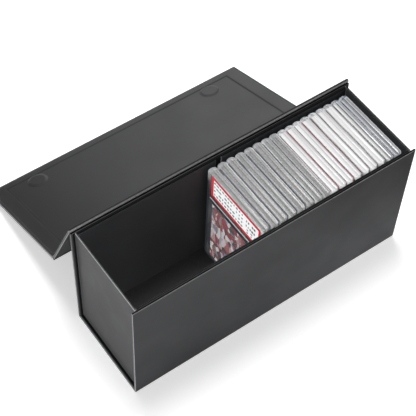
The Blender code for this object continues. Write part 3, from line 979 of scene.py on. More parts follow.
@dataclass(frozen=True)
class LiningSheet:
    """The paper glued inside a cover board, sunk within the wrap's turned-in border.

    Lengths along the board run from the hinge's axis, and heights from the board's middle plane.
    """

    half_width: float
    start: float
    end: float
    low: float
    high: float
    border_ends: float
    border_start: float
    border_free: float
    sink: float = 0.00022
    wave: float = 0.00003
    bumps: tuple[Point, ...] = ()
    bump_radius: float = 0.0118
    bump_height: float = 0.00092  # shut, it clears the front panel's face by about 0.1 mm
    bump_crown: float = 0.68  # share of the radius that is flat
    bump_room: float = 1.1  # share of the radius that has fine lines
    bump_pitch: float = 0.0006
    step: float = 0.0036
    step_pitch: float = 0.0005
    edge: float = 0.0005
    edge_pitch: float = 0.00018
    edge_drop: float = 0.00012
    pitch: float = 0.009

    def inside(self, across: float, along: float) -> float:
        """Return how far a place is inside the pressed border, from 0 to 1."""
        return min(
            smooth_step(self.half_width - abs(across), self.border_ends, self.border_ends + self.step),
            smooth_step(along - self.start, self.border_start, self.border_start + self.step),
            smooth_step(self.end - along, self.border_free, self.border_free + self.step),
        )

    def height(self, across: float, along: float) -> float:
        """Return the sheet's upper surface at a place.

        Args:
            across: The place across the board.
            along: The place along the board.

        Returns:
            Its height over the board's middle plane.
        """
        inside = self.inside(across, along)
        rise = self.high - self.sink * inside
        for bump_across, bump_along in self.bumps:
            away = math.hypot(across - bump_across, along - bump_along)
            slope = smooth_step(away, self.bump_crown * self.bump_radius, self.bump_radius)
            rise += self.bump_height * (1.0 - slope)
        ripple = math.sin(across * 31.0 + 1.3) * math.sin(along * 43.0 + 0.4)
        return rise - self.wave * (1.0 + ripple) * inside

    def lines(self, ends: Span, borders: Span, bumps: Iterable[float]) -> list[float]:
        """Return the grid's lines along one axis, closer together at its edges, borders and bumps.

        Args:
            ends: The sheet's two ends.
            borders: Width of the border at each end.
            bumps: Middles of the bumps.

        Returns:
            The lines in rising order.
        """
        low, high = ends
        near, far, reach = low + borders[0], high - borders[1], self.bump_radius * self.bump_room
        fine = [(low, low + self.edge, self.edge_pitch), (high - self.edge, high, self.edge_pitch)]
        fine += [(near, near + self.step, self.step_pitch), (far - self.step, far, self.step_pitch)]
        fine += [(place - reach, place + reach, self.bump_pitch) for place in bumps]
        return graded_lines(low, high, self.pitch, fine)

    def draft(self) -> MeshDraft:
        """Draw the sheet in the board's own frame.

        Returns:
            The draft.
        """
        draft, half = MeshDraft(), self.half_width
        across = self.lines((-half, half), (self.border_ends, self.border_ends), [x for x, _ in self.bumps])
        borders = (self.border_start, self.border_free)
        along = self.lines((self.start, self.end), borders, [y for _, y in self.bumps[:1]])
        grid = []
        for y in along:
            row = []
            for x in across:
                inward = min(half - abs(x), y - self.start, self.end - y)
                drop = self.edge_drop * (1.0 - smooth_step(inward, 0.0, 0.0003))
                rub = 0.7 * (1.0 - smooth_step(inward, 0.0001, 0.0006))
                vertex = draft.vertex((x, y, self.height(x, y) - drop), rub)
                inside = self.inside(x, y)
                # painted shade: the pressed step is marked here for a darker colour
                vertex[draft.pressed] = 4.0 * inside * (1.0 - inside)
                row.append(vertex)
            grid.append(row)
        for near, far in zip(grid, grid[1:]):
            for index in range(len(across) - 1):
                draft.face((near[index], near[index + 1], far[index + 1], far[index]))
        right, left = [row[-1] for row in grid[:-1]], [row[0] for row in grid[:0:-1]]
        rim = grid[0][:-1] + right + grid[-1][:0:-1] + left
        foot = [draft.vertex((vertex.co.x, vertex.co.y, self.low)) for vertex in rim]
        draft.band(rim, foot)
        draft.face(list(reversed(foot)))
        return draft


# Sub-assemblies


@dataclass(frozen=True)
class Papers:
    """The finished paper and metal materials that the case's boards share."""

    wrap: Material
    cover: Material
    ends: Material
    liner: Material
    floor: Material
    # painted shade: near-black paper laid where shade falls
    rim: Material
    fold: Material
    lining: Material
    nickel: Material
    steel: Material


def place_piece(piece: Piece, body: str, nodes: Sequence[str] = ()) -> None:
    """Give a finished piece its place in the model, and report it.

    Args:
        piece: The piece.
        body: The body it rides on.
        nodes: The CAD nodes it stands for.
    """
    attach(piece, body)
    if nodes:
        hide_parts(*nodes)
    log.info("%s: %d faces, on %s", piece.name, len(piece.data.polygons), body)


def repaint(node: Piece, material: Material) -> None:
    """Give a CAD node another material, and report it."""
    node.data.materials.clear()
    node.data.materials.append(material)
    log.info("%s: painted with %s", node.name, material.name)


def paint_shade_on_tops(piece: Piece, height: float) -> None:
    """Paint shade on a board's flat top above a height: give it the second of its materials, a near-black
    painted shade.
    """
    for face in piece.data.polygons:
        if face.normal.z > 0.9 and face.center.z > height:
            face.material_index = 1


@dataclass
class Cover:
    """The fixed part of the wrapped cover: front, bottom and back boards in one skin of paper.

    The margin is the slack in telling which places lie on a board's face.
    """

    papers: Papers
    fold_radius: float = 0.0022
    edge_radius: float = 0.0005
    ledge: float = 0.0019
    margin: float = 0.0001

    def rub_ends(self, skin: Piece, reach: float, floor: float, back: float) -> None:
        """Set the rub, edge wear and painted highlight, on the ends of the cover's boards: the bottom board's
        all over, the back board's hardly.

        Args:
            skin: The cover's skin.
            reach: How far from the middle along X an end begins.
            floor: The bottom board's upper face.
            back: Place along Y from which the back board starts.
        """
        rubs = skin.data.attributes[WEAR_AND_HIGHLIGHT].data
        for vertex in skin.data.vertices:
            if abs(vertex.co.x) < reach:
                continue
            if vertex.co.z < floor + 2.0 * self.margin:
                rubs[vertex.index].value = max(0.85, rubs[vertex.index].value)
            elif vertex.co.y > back:
                rubs[vertex.index].value *= 0.12

    @staticmethod
    def paint_shade_on_ledges(skin: Piece, low: Point, high: Point, reach: float) -> None:
        """Paint shade inside the U of boards: give the faces there the second material, a near-black painted
        shade, up to the ledge at each end.

        Args:
            skin: The cover's skin.
            low: Lowest Y and Z of the hollow inside the U.
            high: Highest Y and Z of the hollow.
            reach: How far from the middle along X the dark faces go.
        """
        for face in skin.data.polygons:
            place = face.center
            inside = low[0] <= place.y <= high[0] and low[1] <= place.z <= high[1]
            if inside and abs(face.normal.x) < 0.1 and abs(place.x) < reach:
                face.material_index = 1

    def build(self) -> None:
        """Build the cover's skin round its three boards."""
        low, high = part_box("front_panel")
        back_low, back_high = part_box("back_panel")
        bottom, floor = (corner.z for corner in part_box("bottom_panel"))
        fold, edge, margin = self.fold_radius, self.edge_radius, self.margin
        corners = (
            Corner((low.y, high.z), edge, 1.0),
            Corner((low.y, bottom), fold, 0.9),
            Corner((back_high.y, bottom), fold, 0.9),
            Corner((back_high.y, back_high.z), edge, 0.2),
            Corner((back_low.y, back_high.z), edge, 0.2),
            Corner((back_low.y, floor), edge, 0.0),
            Corner((high.y, floor), edge, 0.0),
            Corner((high.y, high.z), edge, 0.0),
        )
        board = Board(corners, (low.x, high.x), ledge=self.ledge)
        skin = board.draft().build("cover_wrap", [self.papers.cover, self.papers.rim])
        # painted shade on the boards' tops and on the ledges inside the U
        paint_shade_on_tops(skin, high.z - edge)
        self.rub_ends(skin, high.x - 2.0 * edge, floor, back_low.y - edge)
        hollow_low = (high.y - margin, floor - margin)
        hollow_high = (back_low.y + margin, high.z - 2.0 * edge)
        self.paint_shade_on_ledges(skin, hollow_low, hollow_high, high.x - self.ledge)
        boards = ("front_panel", "bottom_panel", "back_panel", "front_fold", "back_fold")
        place_piece(skin, "case", boards)


@dataclass
class Tray:
    """The glued tray: four walls and a floor, lined with thinner boards."""

    papers: Papers
    wall_edge: float = 0.0005
    liner_edge: float = 0.0004
    end_liner_edge: float = 0.0002
    floor_edge: float = 0.00025

    def wall(self, node: str, material: Material, edge: float, rub: float = 0.15) -> None:
        """Build one upright board from its CAD box, along the longer of its sides.

        Args:
            node: The CAD node it stands for.
            material: Its paper.
            edge: Rounding of its edges.
            rub: How much edge wear and painted highlight its top edges get. A board with a low rub gets
                painted shade on its top.
        """
        low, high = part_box(node)
        rubs = (0.0, 0.0, 0.0 if rub > 0.5 else rub, rub)
        if high.x - low.x > high.y - low.y:
            board = Board(box_corners((low.y, low.z), (high.y, high.z), edge, rubs), (low.x, high.x), edge)
            turn = None
        else:
            board = Board(box_corners((low.x, low.z), (high.x, high.z), edge, rubs), (low.y, high.y), edge)
            turn = swap_axes(DEEP, ACROSS, UP)
        made = board.draft().build(f"{node}_board", [material, self.papers.rim], turn)
        if rub < 0.5:
            paint_shade_on_tops(made, high.z - edge)
        place_piece(made, "case", (node,))

    def flat(self, node: str) -> None:
        """Build one lying board from its CAD box."""
        draft = MeshDraft()
        draft.block(*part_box(node), self.floor_edge)
        place_piece(draft.build(f"{node}_board", [self.papers.floor]), "case", (node,))

    def build(self) -> None:
        """Build the walls, the floor and the liners."""
        papers, edge = self.papers, self.wall_edge
        # the left wall's top edge gets the full rub, edge wear and painted highlight; the other boards get
        # painted shade on their tops
        self.wall("tray_left_wall", papers.ends, edge, 1.0)
        self.wall("tray_right_wall", papers.ends, edge)
        self.wall("tray_front_wall", papers.liner, edge)
        # painted shade: the back wall is all near-black paper
        self.wall("tray_back_wall", papers.rim, edge)
        for end in ("left", "right"):
            self.wall(f"front_liner_{end}", papers.liner, self.liner_edge, 0.0)
            self.wall(f"back_liner_{end}", papers.liner, self.liner_edge, 0.0)
            self.wall(f"end_liner_{end}", papers.liner, self.end_liner_edge, 0.0)
        self.flat("tray_floor")
        self.flat("floor_liner")


@dataclass(frozen=True)
class Hinge:
    """A hinge line along X, and the turn from level of the board beyond it."""

    axis: Point
    slope: float

    def placement(self) -> Matrix:
        """Return the frame with Y along the board and Z out of its inner side."""
        along = Vector((0.0, math.cos(self.slope), math.sin(self.slope)))
        inner = Vector((0.0, -math.sin(self.slope), math.cos(self.slope)))
        return swap_axes(ACROSS, along, inner, Vector((0.0, *self.axis)))


@dataclass
class FoldingBoard:
    """A cover board beyond a hinge, with the lining paper glued inside it."""

    name: str
    body: str
    hinge: Hinge
    papers: Papers
    half_length: float
    start: float
    end: float
    magnets: tuple[Point, ...] = ()
    half_thickness: float = 0.0011
    edge_radius: float = 0.0005
    edge_rubs: tuple[float, ...] = (0.5, 1.0, 1.0, 0.5)
    lining_margin: float = 0.003
    lining_gap: float = 0.00002
    lining_top: float = 0.0018
    border_ends: float = 0.0130
    border_free: float = 0.0062
    border_start: float = 0.0050

    def build(self) -> None:
        """Build the board and its lining."""
        turn, thick, margin = self.hinge.placement(), self.half_thickness, self.lining_margin
        outline = box_corners((self.start, -thick), (self.end, thick), self.edge_radius, self.edge_rubs)
        board = Board(outline, (-self.half_length, self.half_length))
        made = board.draft().build(f"{self.name}_board", [self.papers.wrap], turn)
        place_piece(made, self.body, (f"{self.name}_panel",))
        sheet = LiningSheet(
            self.half_length - margin, self.start + margin, self.end - margin, thick + self.lining_gap,
            self.lining_top, self.border_ends, self.border_start, self.border_free, bumps=self.magnets,
        )
        lining = sheet.draft().build(f"{self.name}_lining_sheet", [self.papers.lining], turn, 60.0)
        place_piece(lining, self.body, (f"{self.name}_lining",))


@dataclass
class FoldedPaper:
    """The bulge of folded paper round a hinge's axis, near-black as painted shade, with a painted highlight
    along its crown.

    The end's shape is a row of distances from the end, each with its share of the radius.
    """

    name: str
    body: str
    hinge: Hinge
    papers: Papers
    half_length: float
    crown: float
    radius: float = 0.00178
    highlight_width: float = math.radians(46.0)
    sides: int = 36
    end_shape: tuple[Point, ...] = ((0.0, 0.55), (0.0002, 0.85), (0.0006, 1.0), (0.05, 1.0))

    def build(self) -> None:
        """Build the bulge, its ends rounded."""
        stations = [(place - self.half_length, share) for place, share in self.end_shape]
        stations += [(-place, share) for place, share in reversed(stations)]
        draft, (deep, high), rings = MeshDraft(), self.hinge.axis, []
        for across, share in stations:
            reach, ring = self.radius * share, []
            for side in range(self.sides):
                angle = 2.0 * math.pi * side / self.sides
                away = abs((angle - self.crown + math.pi) % (2.0 * math.pi) - math.pi)
                # painted highlight: the crown facing the light gets the light edge colour
                rub = 1.0 - smooth_step(away, 0.35 * self.highlight_width, self.highlight_width)
                place = (across, deep + reach * math.cos(angle), high + reach * math.sin(angle))
                ring.append(draft.vertex(place, rub))
            rings.append(ring)
        draft.tube(rings)
        made = draft.build(f"{self.name}_fold", [self.papers.fold])
        place_piece(made, self.body, (self.name,))


# Card slabs


@dataclass(frozen=True)
class SlabFinishes:
    """The finished materials of the card slabs. Each tone has its rims, and labels to take in turn."""

    rims: dict[SlabTone, tuple[Material, ...]]
    window: Material
    carrier: Material
    bar_highlight: Material
    first_label: Material
    labels: dict[SlabTone, tuple[Material, ...]]
    inks: tuple[Material, ...]
    cards: tuple[Material, ...]


@dataclass(frozen=True)
class PrintBlock:
    """A block of print dashes on a label: its middle, its ink, and the grid that they lie on.

    The share is how many of the grid's points have a dash.
    """

    middle: Point
    ink: int
    size: Point
    grid: tuple[int, int]
    dash_height: float
    dash_lengths: Span
    share: float


class LabelDashes:
    """Rows of plain dashes that stand for print on a label, laid out by Geometry Nodes."""

    def __init__(self) -> None:
        """Build the node tree once."""
        self.tree = self._tree()

    @staticmethod
    def _tree() -> Tree:
        """Return the tree that lays dashes of random length on a share of a grid's points."""
        tree = bpy.data.node_groups.new("label_dashes", "GeometryNodeTree")
        socket, make = tree.interface.new_socket, tree.nodes.new
        socket("Geometry", in_out="OUTPUT", socket_type="NodeSocketGeometry")
        settings = (
            ("Width", "Float", 0.03), ("Height", "Float", 0.012), ("Columns", "Int", 4), ("Rows", "Int", 3),
            ("Dash Height", "Float", 0.0012), ("Shortest", "Float", 0.003), ("Longest", "Float", 0.009),
            ("Thickness", "Float", 0.00012), ("Share", "Float", 0.85), ("Seed", "Int", 1),
        )
        for label, kind, value in settings:
            socket(label, in_out="INPUT", socket_type=f"NodeSocket{kind}").default_value = value
        socket("Material", in_out="INPUT", socket_type="NodeSocketMaterial")
        start, end = make("NodeGroupInput"), make("NodeGroupOutput")
        grid, cube = make("GeometryNodeMeshGrid"), make("GeometryNodeMeshCube")
        place, size = make("GeometryNodeInstanceOnPoints"), make("ShaderNodeCombineXYZ")
        chance, length = make("FunctionNodeRandomValue"), make("FunctionNodeRandomValue")
        real, paint = make("GeometryNodeRealizeInstances"), make("GeometryNodeSetMaterial")
        chance.data_type, length.data_type = "BOOLEAN", "FLOAT"
        cube.inputs["Size"].default_value = (1.0, 1.0, 1.0)
        joins = (
            (start, "Width", grid, "Size X"), (start, "Height", grid, "Size Y"),
            (start, "Columns", grid, "Vertices X"), (start, "Rows", grid, "Vertices Y"),
            (grid, "Mesh", place, "Points"), (cube, "Mesh", place, "Instance"),
            (start, "Share", chance, "Probability"), (start, "Seed", chance, "Seed"),
            (chance, 3, place, "Selection"), (start, "Shortest", length, 2), (start, "Longest", length, 3),
            (start, "Seed", length, "Seed"), (length, 1, size, "X"), (start, "Dash Height", size, "Y"),
            (start, "Thickness", size, "Z"), (size, "Vector", place, "Scale"),
            (place, "Instances", real, "Geometry"), (real, "Geometry", paint, "Geometry"),
            (start, "Material", paint, "Material"), (paint, "Geometry", end, 0),
        )
        for source, output, target, taken in joins:
            tree.links.new(source.outputs[output], target.inputs[taken])
        return tree

    def mesh(self, block: PrintBlock, material: Material, seed: int) -> bpy.types.Mesh:
        """Return the dashes as a plain mesh.

        Args:
            block: The block of print.
            material: Its ink.
            seed: The seed of the dashes' lengths and of which are left out.

        Returns:
            A new mesh in the X-Y plane about the origin.
        """
        carrier = bpy.data.objects.new("dash_grid", bpy.data.meshes.new("dash_grid"))
        bpy.context.scene.collection.objects.link(carrier)
        modifier = carrier.modifiers.new("Dashes", "NODES")
        modifier.node_group = self.tree
        values = {
            "Material": material, "Seed": seed, "Share": block.share, "Dash Height": block.dash_height,
            "Width": block.size[0], "Height": block.size[1], "Columns": block.grid[0], "Rows": block.grid[1],
            "Shortest": block.dash_lengths[0], "Longest": block.dash_lengths[1],
        }
        for item in self.tree.interface.items_tree:
            if item.name in values:
                modifier[item.identifier] = values[item.name]
        carrier.update_tag()
        evaluated = carrier.evaluated_get(bpy.context.evaluated_depsgraph_get())
        made = bpy.data.meshes.new_from_object(evaluated)
        bpy.data.objects.remove(carrier, do_unlink=True)
        return made


def rounded_rectangle(
    centre: Point, half_width: float, half_height: float, radius: float, steps: int = 5
) -> list[Vector]:
    """Return the points of a rectangle with rounded corners, corner by corner from low to high.

    Args:
        centre: Its middle.
        half_width: Half its width.
        half_height: Half its height.
        radius: Its corner radius.
        steps: Faces along each corner.

    Returns:
        Four times steps + 1 points.
    """
    points = []
    for quarter, (side, rise) in enumerate(((1, -1), (1, 1), (-1, 1), (-1, -1))):
        middle = Vector((centre[0] + side * (half_width - radius), centre[1] + rise * (half_height - radius)))
        for step in range(steps + 1):
            angle = 0.5 * math.pi * (quarter - 1 + step / steps)
            points.append(middle + radius * Vector((math.cos(angle), math.sin(angle))))
    return points


@dataclass
class CardSlab:
    """One sealed card slab: a welded clear rim, two windows a side, a label and a card.

    It is drawn standing about its own middle, with its thickness along X and its width along Y.
    Depths run from its middle plane, and the look says which of its tone's rims it has.
    """

    number: int
    tone: SlabTone
    look: int
    finishes: SlabFinishes
    dashes: LabelDashes
    nodes: tuple[str, ...]
    label_nodes: tuple[str, ...] = ()
    card_nodes: tuple[str, ...] = ()
    half_width: float = 0.0442
    half_height: float = 0.068
    half_thickness: float = 0.0043
    corner_radius: float = 0.0035
    edge_radius: float = 0.0009
    inner_edge: float = 0.0002
    ridge: float = 0.0014
    end_ridge: float = 0.0044
    end_round: float = 0.0034
    bar_rise: Span = (0.0262, 0.0326)
    bar_edge: float = 0.0003
    highlight_rise: Span = (0.0297, 0.0319)
    highlight_reach: float = 0.0372
    highlight_depths: Span = (-0.0004, 0.00002)
    highlight_edge: float = 0.00008
    window_depth: float = 0.0003
    pane: float = 0.0003
    pane_edge: float = 0.0001
    inner_radius: float = 0.0020
    weld: float = 0.00030
    label_centre: Point = (-0.0015, 0.0498)
    card_centre: Point = (0.0, -0.02005)
    card_room: float = 0.0003
    carrier_depth: float = 0.0032
    carrier_bar: float = 0.0012
    carrier_edge: float = 0.0003
    insert_thickness: float = 0.0003
    insert_offset: float = 0.0036
    insert_radius: float = 0.0016
    label_print: tuple[PrintBlock, ...] = (
        PrintBlock((-0.01146, 0.0), 1, (0.042784, 0.017024), (11, 4), 0.0020, (0.0014, 0.0040), 0.88),
        PrintBlock((0.02292, 0.00304), 0, (0.012224, 0.006688), (5, 2), 0.0028, (0.0008, 0.0026), 0.9),
        PrintBlock((0.025212, -0.007296), 0, (0.012224, 0.0040), (3, 2), 0.0014, (0.0016, 0.0040), 1.0),
    )
    centre: Vector = field(default_factory=Vector)

    @property
    def body(self) -> str:
        """The CAD body that the slab's pieces ride on."""
        return f"slab_{self.number:02d}"

    @property
    def opening(self) -> Point:
        """Half the width and half the height of the opening inside the rim."""
        return self.half_width - self.end_ridge, self.half_height - self.ridge

    def place(
        self, draft: MeshDraft, name: str, materials: Sequence[Material], slot: str = "slab_clear",
        nodes: Sequence[str] = (),
    ) -> None:
        """Finish one piece of the slab where the slab stands in the tray.

        Args:
            draft: The piece's draft.
            name: The last part of its name.
            materials: Its materials.
            slot: Not used.
            nodes: The CAD nodes it stands for.
        """
        made = draft.build(f"{self.body}_{name}", materials, Matrix.Translation(self.centre))
        place_piece(made, self.body, nodes)

    @staticmethod
    def layer(
        draft: MeshDraft, side: float, depths: Span, reach: float, rise: Span, radius: float, slot: int = 0
    ) -> None:
        """Add a block that lies in one side of the slab.

        Args:
            draft: The draft it goes into.
            side: The side, -1 or 1.
            depths: How far its two faces are from the middle plane.
            reach: Half its width.
            rise: Its low and its high end.
            radius: The bevel's radius.
            slot: Its material slot.
        """
        near, far = sorted(side * depth for depth in depths)
        draft.block((near, -reach, rise[0]), (far, reach, rise[1]), radius, slot)

    def rim_section(self, bulge: float) -> list[Point]:
        """Return the rim's section as inset from the outside and place across the thickness.

        Args:
            bulge: How far across the thickness its edges are rounded.

        Returns:
            The section's points in order.
        """
        half, edge, weld, inner = self.half_thickness, self.edge_radius, self.weld, self.inner_edge
        section: list[Point] = []
        for step in range(5):
            angle = 0.5 * math.pi * step / 4
            section.append((edge * (1.0 - math.sin(angle)), -half + bulge * (1.0 - math.cos(angle))))
        section += [(0.0, -weld), (0.4 * weld, -0.5 * weld), (0.4 * weld, 0.5 * weld), (0.0, weld)]
        section += [(inset, -across) for inset, across in reversed(section[:5])]
        section += [(self.ridge - inner, half), (self.ridge, half - inner)]
        section += [(self.ridge, -half + inner), (self.ridge - inner, -half)]
        return section

    def rim_loops(self, draft: MeshDraft, section: Sequence[Point]) -> list[Ring]:
        """Draw the rim's closed loops, one for each point of its section, rounder at the slab's ends.

        Args:
            draft: The draft they go into.
            section: The rim's section.

        Returns:
            The loops in the section's order.
        """
        outer = rounded_rectangle((0.0, 0.0), self.half_width, self.half_height, self.corner_radius)
        inner = rounded_rectangle((0.0, 0.0), *self.opening, self.inner_radius)
        flat, turned = self.half_width - self.corner_radius, self.half_width - 0.3 * self.corner_radius
        ends = [smooth_step(abs(out.x), flat, turned) for out in outer]
        return [
            [
                draft.vertex((across + (end_across - across) * end, *out.lerp(into, inset / self.ridge)))
                for out, into, end in zip(outer, inner, ends)
            ]
            for (inset, across), (_, end_across) in zip(section, self.rim_section(self.end_round))
        ]

    def rim(self) -> None:
        """Build the welded rim with the bar between its windows, and the painted highlight on the bar as a
        silver strip.
        """
        draft, half = MeshDraft(mapped=True), self.half_thickness
        section = self.rim_section(self.edge_radius)
        loops = self.rim_loops(draft, section)
        count, thickness = len(loops[0]), 2.0 * half
        for index in range(len(section)):
            first, second = loops[index - 1], loops[index]
            u_first, u_second = (section[place][1] / thickness + 0.5 for place in (index - 1, index))
            for step in range(count):
                after = (step + 1) % count
                v_low, v_high = step / count, (step + 1) / count
                draft.face(
                    (first[step], first[after], second[after], second[step]),
                    uvs=((u_first, v_low), (u_first, v_high), (u_second, v_high), (u_second, v_low)),
                )
        bar_depths = (half, self.insert_offset - self.insert_thickness)
        bar_reach = self.opening[0] + self.inner_edge
        highlight_depths = tuple(half + depth for depth in self.highlight_depths)
        for side in (-1.0, 1.0):
            self.layer(draft, side, bar_depths, bar_reach, self.bar_rise, self.bar_edge)
            self.layer(draft, side, highlight_depths, self.highlight_reach, self.highlight_rise, self.highlight_edge, 1)
        rim_look = self.finishes.rims[self.tone][self.look]
        self.place(draft, "rim", [rim_look, self.finishes.bar_highlight], nodes=self.nodes)

    def windows(self) -> None:
        """Build the clear panes, each a thin sheet a little below the rim."""
        draft, (reach, top) = MeshDraft(), self.opening
        face = self.half_thickness - self.window_depth
        for side in (-1.0, 1.0):
            for rise in ((self.bar_rise[1], top), (-top, self.bar_rise[0])):
                self.layer(draft, side, (face, face - self.pane), reach, rise, self.pane_edge)
        self.place(draft, "windows", [self.finishes.window])

    def carrier(self) -> None:
        """Build the clear inner frame that holds the card and the label."""
        draft, (reach, top) = MeshDraft(), self.opening
        half, edge, room = self.carrier_depth, self.carrier_edge, self.card_room
        card_half = 0.5 * CARD_SIZE[0] + room
        card_low = self.card_centre[1] - 0.5 * CARD_SIZE[1] - room
        card_high = self.card_centre[1] + 0.5 * CARD_SIZE[1] + room
        bar_top = card_high + self.carrier_bar
        for side in (-1.0, 1.0):
            near, far = sorted((side * card_half, side * reach))
            draft.block((-half, near, -top), (half, far, bar_top), edge)
        draft.block((-half, -card_half, -top), (half, card_half, card_low), edge)
        draft.block((-half, -card_half, card_high), (half, card_half, bar_top), edge)
        self.place(draft, "carrier", [self.finishes.carrier])

    def sheets(self, draft: MeshDraft, size: Point, middle: Point) -> None:
        """Add two thin printed sheets back to back, one behind each window, mapped from 0 to 1.

        Args:
            draft: The draft they go into.
            size: Their width and height.
            middle: Their middle across the slab and up it.
        """
        path = rounded_rectangle(middle, 0.5 * size[0], 0.5 * size[1], self.insert_radius, 4)
        for side in (-1.0, 1.0):
            depths = (side * self.insert_offset, side * (self.insert_offset - self.insert_thickness))
            rings = [[draft.vertex((depth, place.x, place.y)) for place in path] for depth in depths]
            uvs = [
                (0.5 + side * (place.x - middle[0]) / size[0], (place.y - middle[1]) / size[1] + 0.5)
                for place in path
            ]
            for ring in rings:
                draft.face(ring, 0, uvs)
            for index in range(len(path)):
                ring = (rings[0][index - 1], rings[0][index], rings[1][index], rings[1][index - 1])
                draft.face(ring, 0, (uvs[index - 1], uvs[index], uvs[index], uvs[index - 1]))

    def label(self) -> None:
        """Build the printed label with its rows of plain dashes, on both sides."""
        draft = MeshDraft(mapped=True)
        self.sheets(draft, LABEL_SIZE, self.label_centre)
        middle, rise = self.label_centre
        for block in self.label_print:
            across, up = block.middle
            dashes = self.dashes.mesh(block, self.finishes.inks[block.ink], self.number)
            for side in (-1.0, 1.0):
                lift = Vector((side * self.insert_offset, middle + side * across, rise + up))
                copy = dashes.copy()
                copy.transform(swap_axes(side * DEEP, UP, side * ACROSS, lift))
                known = len(draft.mesh.faces)
                draft.mesh.from_mesh(copy)
                draft.mesh.faces.ensure_lookup_table()
                for index in range(known, len(draft.mesh.faces)):
                    draft.mesh.faces[index].material_index = 1 + block.ink
        papers = self.finishes.labels[self.tone]
        paper = self.finishes.first_label if self.number == 1 else papers[self.number % len(papers)]
        self.place(draft, "label_print", [paper, *self.finishes.inks], "label_paper", self.label_nodes)

    def card(self) -> None:
        """Build the printed card."""
        draft, cards = MeshDraft(mapped=True), self.finishes.cards
        self.sheets(draft, CARD_SIZE, self.card_centre)
        look = cards[(self.number - 1) % len(cards)]
        self.place(draft, "card_print", [look], "card_stock", self.card_nodes)

    def build(self) -> None:
        """Build every piece of the slab."""
        self.rim()
        self.windows()
        self.carrier()
        self.label()
        self.card()


@dataclass
class SlabRow:
    """The row of card slabs that stands in the tray's right part, the frosted ones first.

    The looks say which of its tone's rims each slab has, from left to right.
    """

    finishes: SlabFinishes
    frosted: int = 8
    white: int = 7
    looks: tuple[int, ...] = (2, 0, 1, 2, 0, 1, 2, 0, 1, 0, 1, 0, 2, 0, 2, 1, 0)

    def tone(self, number: int) -> SlabTone:
        """Return how the rim of this slab looks."""
        if number <= self.frosted:
            return SlabTone.FROSTED
        return SlabTone.WHITE if number <= self.frosted + self.white else SlabTone.CLEAR

    def build(self) -> None:
        """Build the slabs from left to right. Only the first has CAD nodes for its halves and prints."""
        dashes = LabelDashes()
        for number, look in enumerate(self.looks, 1):
            name = f"slab_{number:02d}"
            nodes = (f"{name}_front_half", f"{name}_back_half") if number == 1 else (name,)
            inside = ((f"{name}_label",), (f"{name}_card",)) if number == 1 else ((), ())
            ends = [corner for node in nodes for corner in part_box(node)]
            centre = 0.5 * (Vector(map(min, *ends)) + Vector(map(max, *ends)))
            slab = CardSlab(
                number, self.tone(number), look, self.finishes, dashes, nodes, *inside, centre=centre
            )
            slab.build()


# The studio


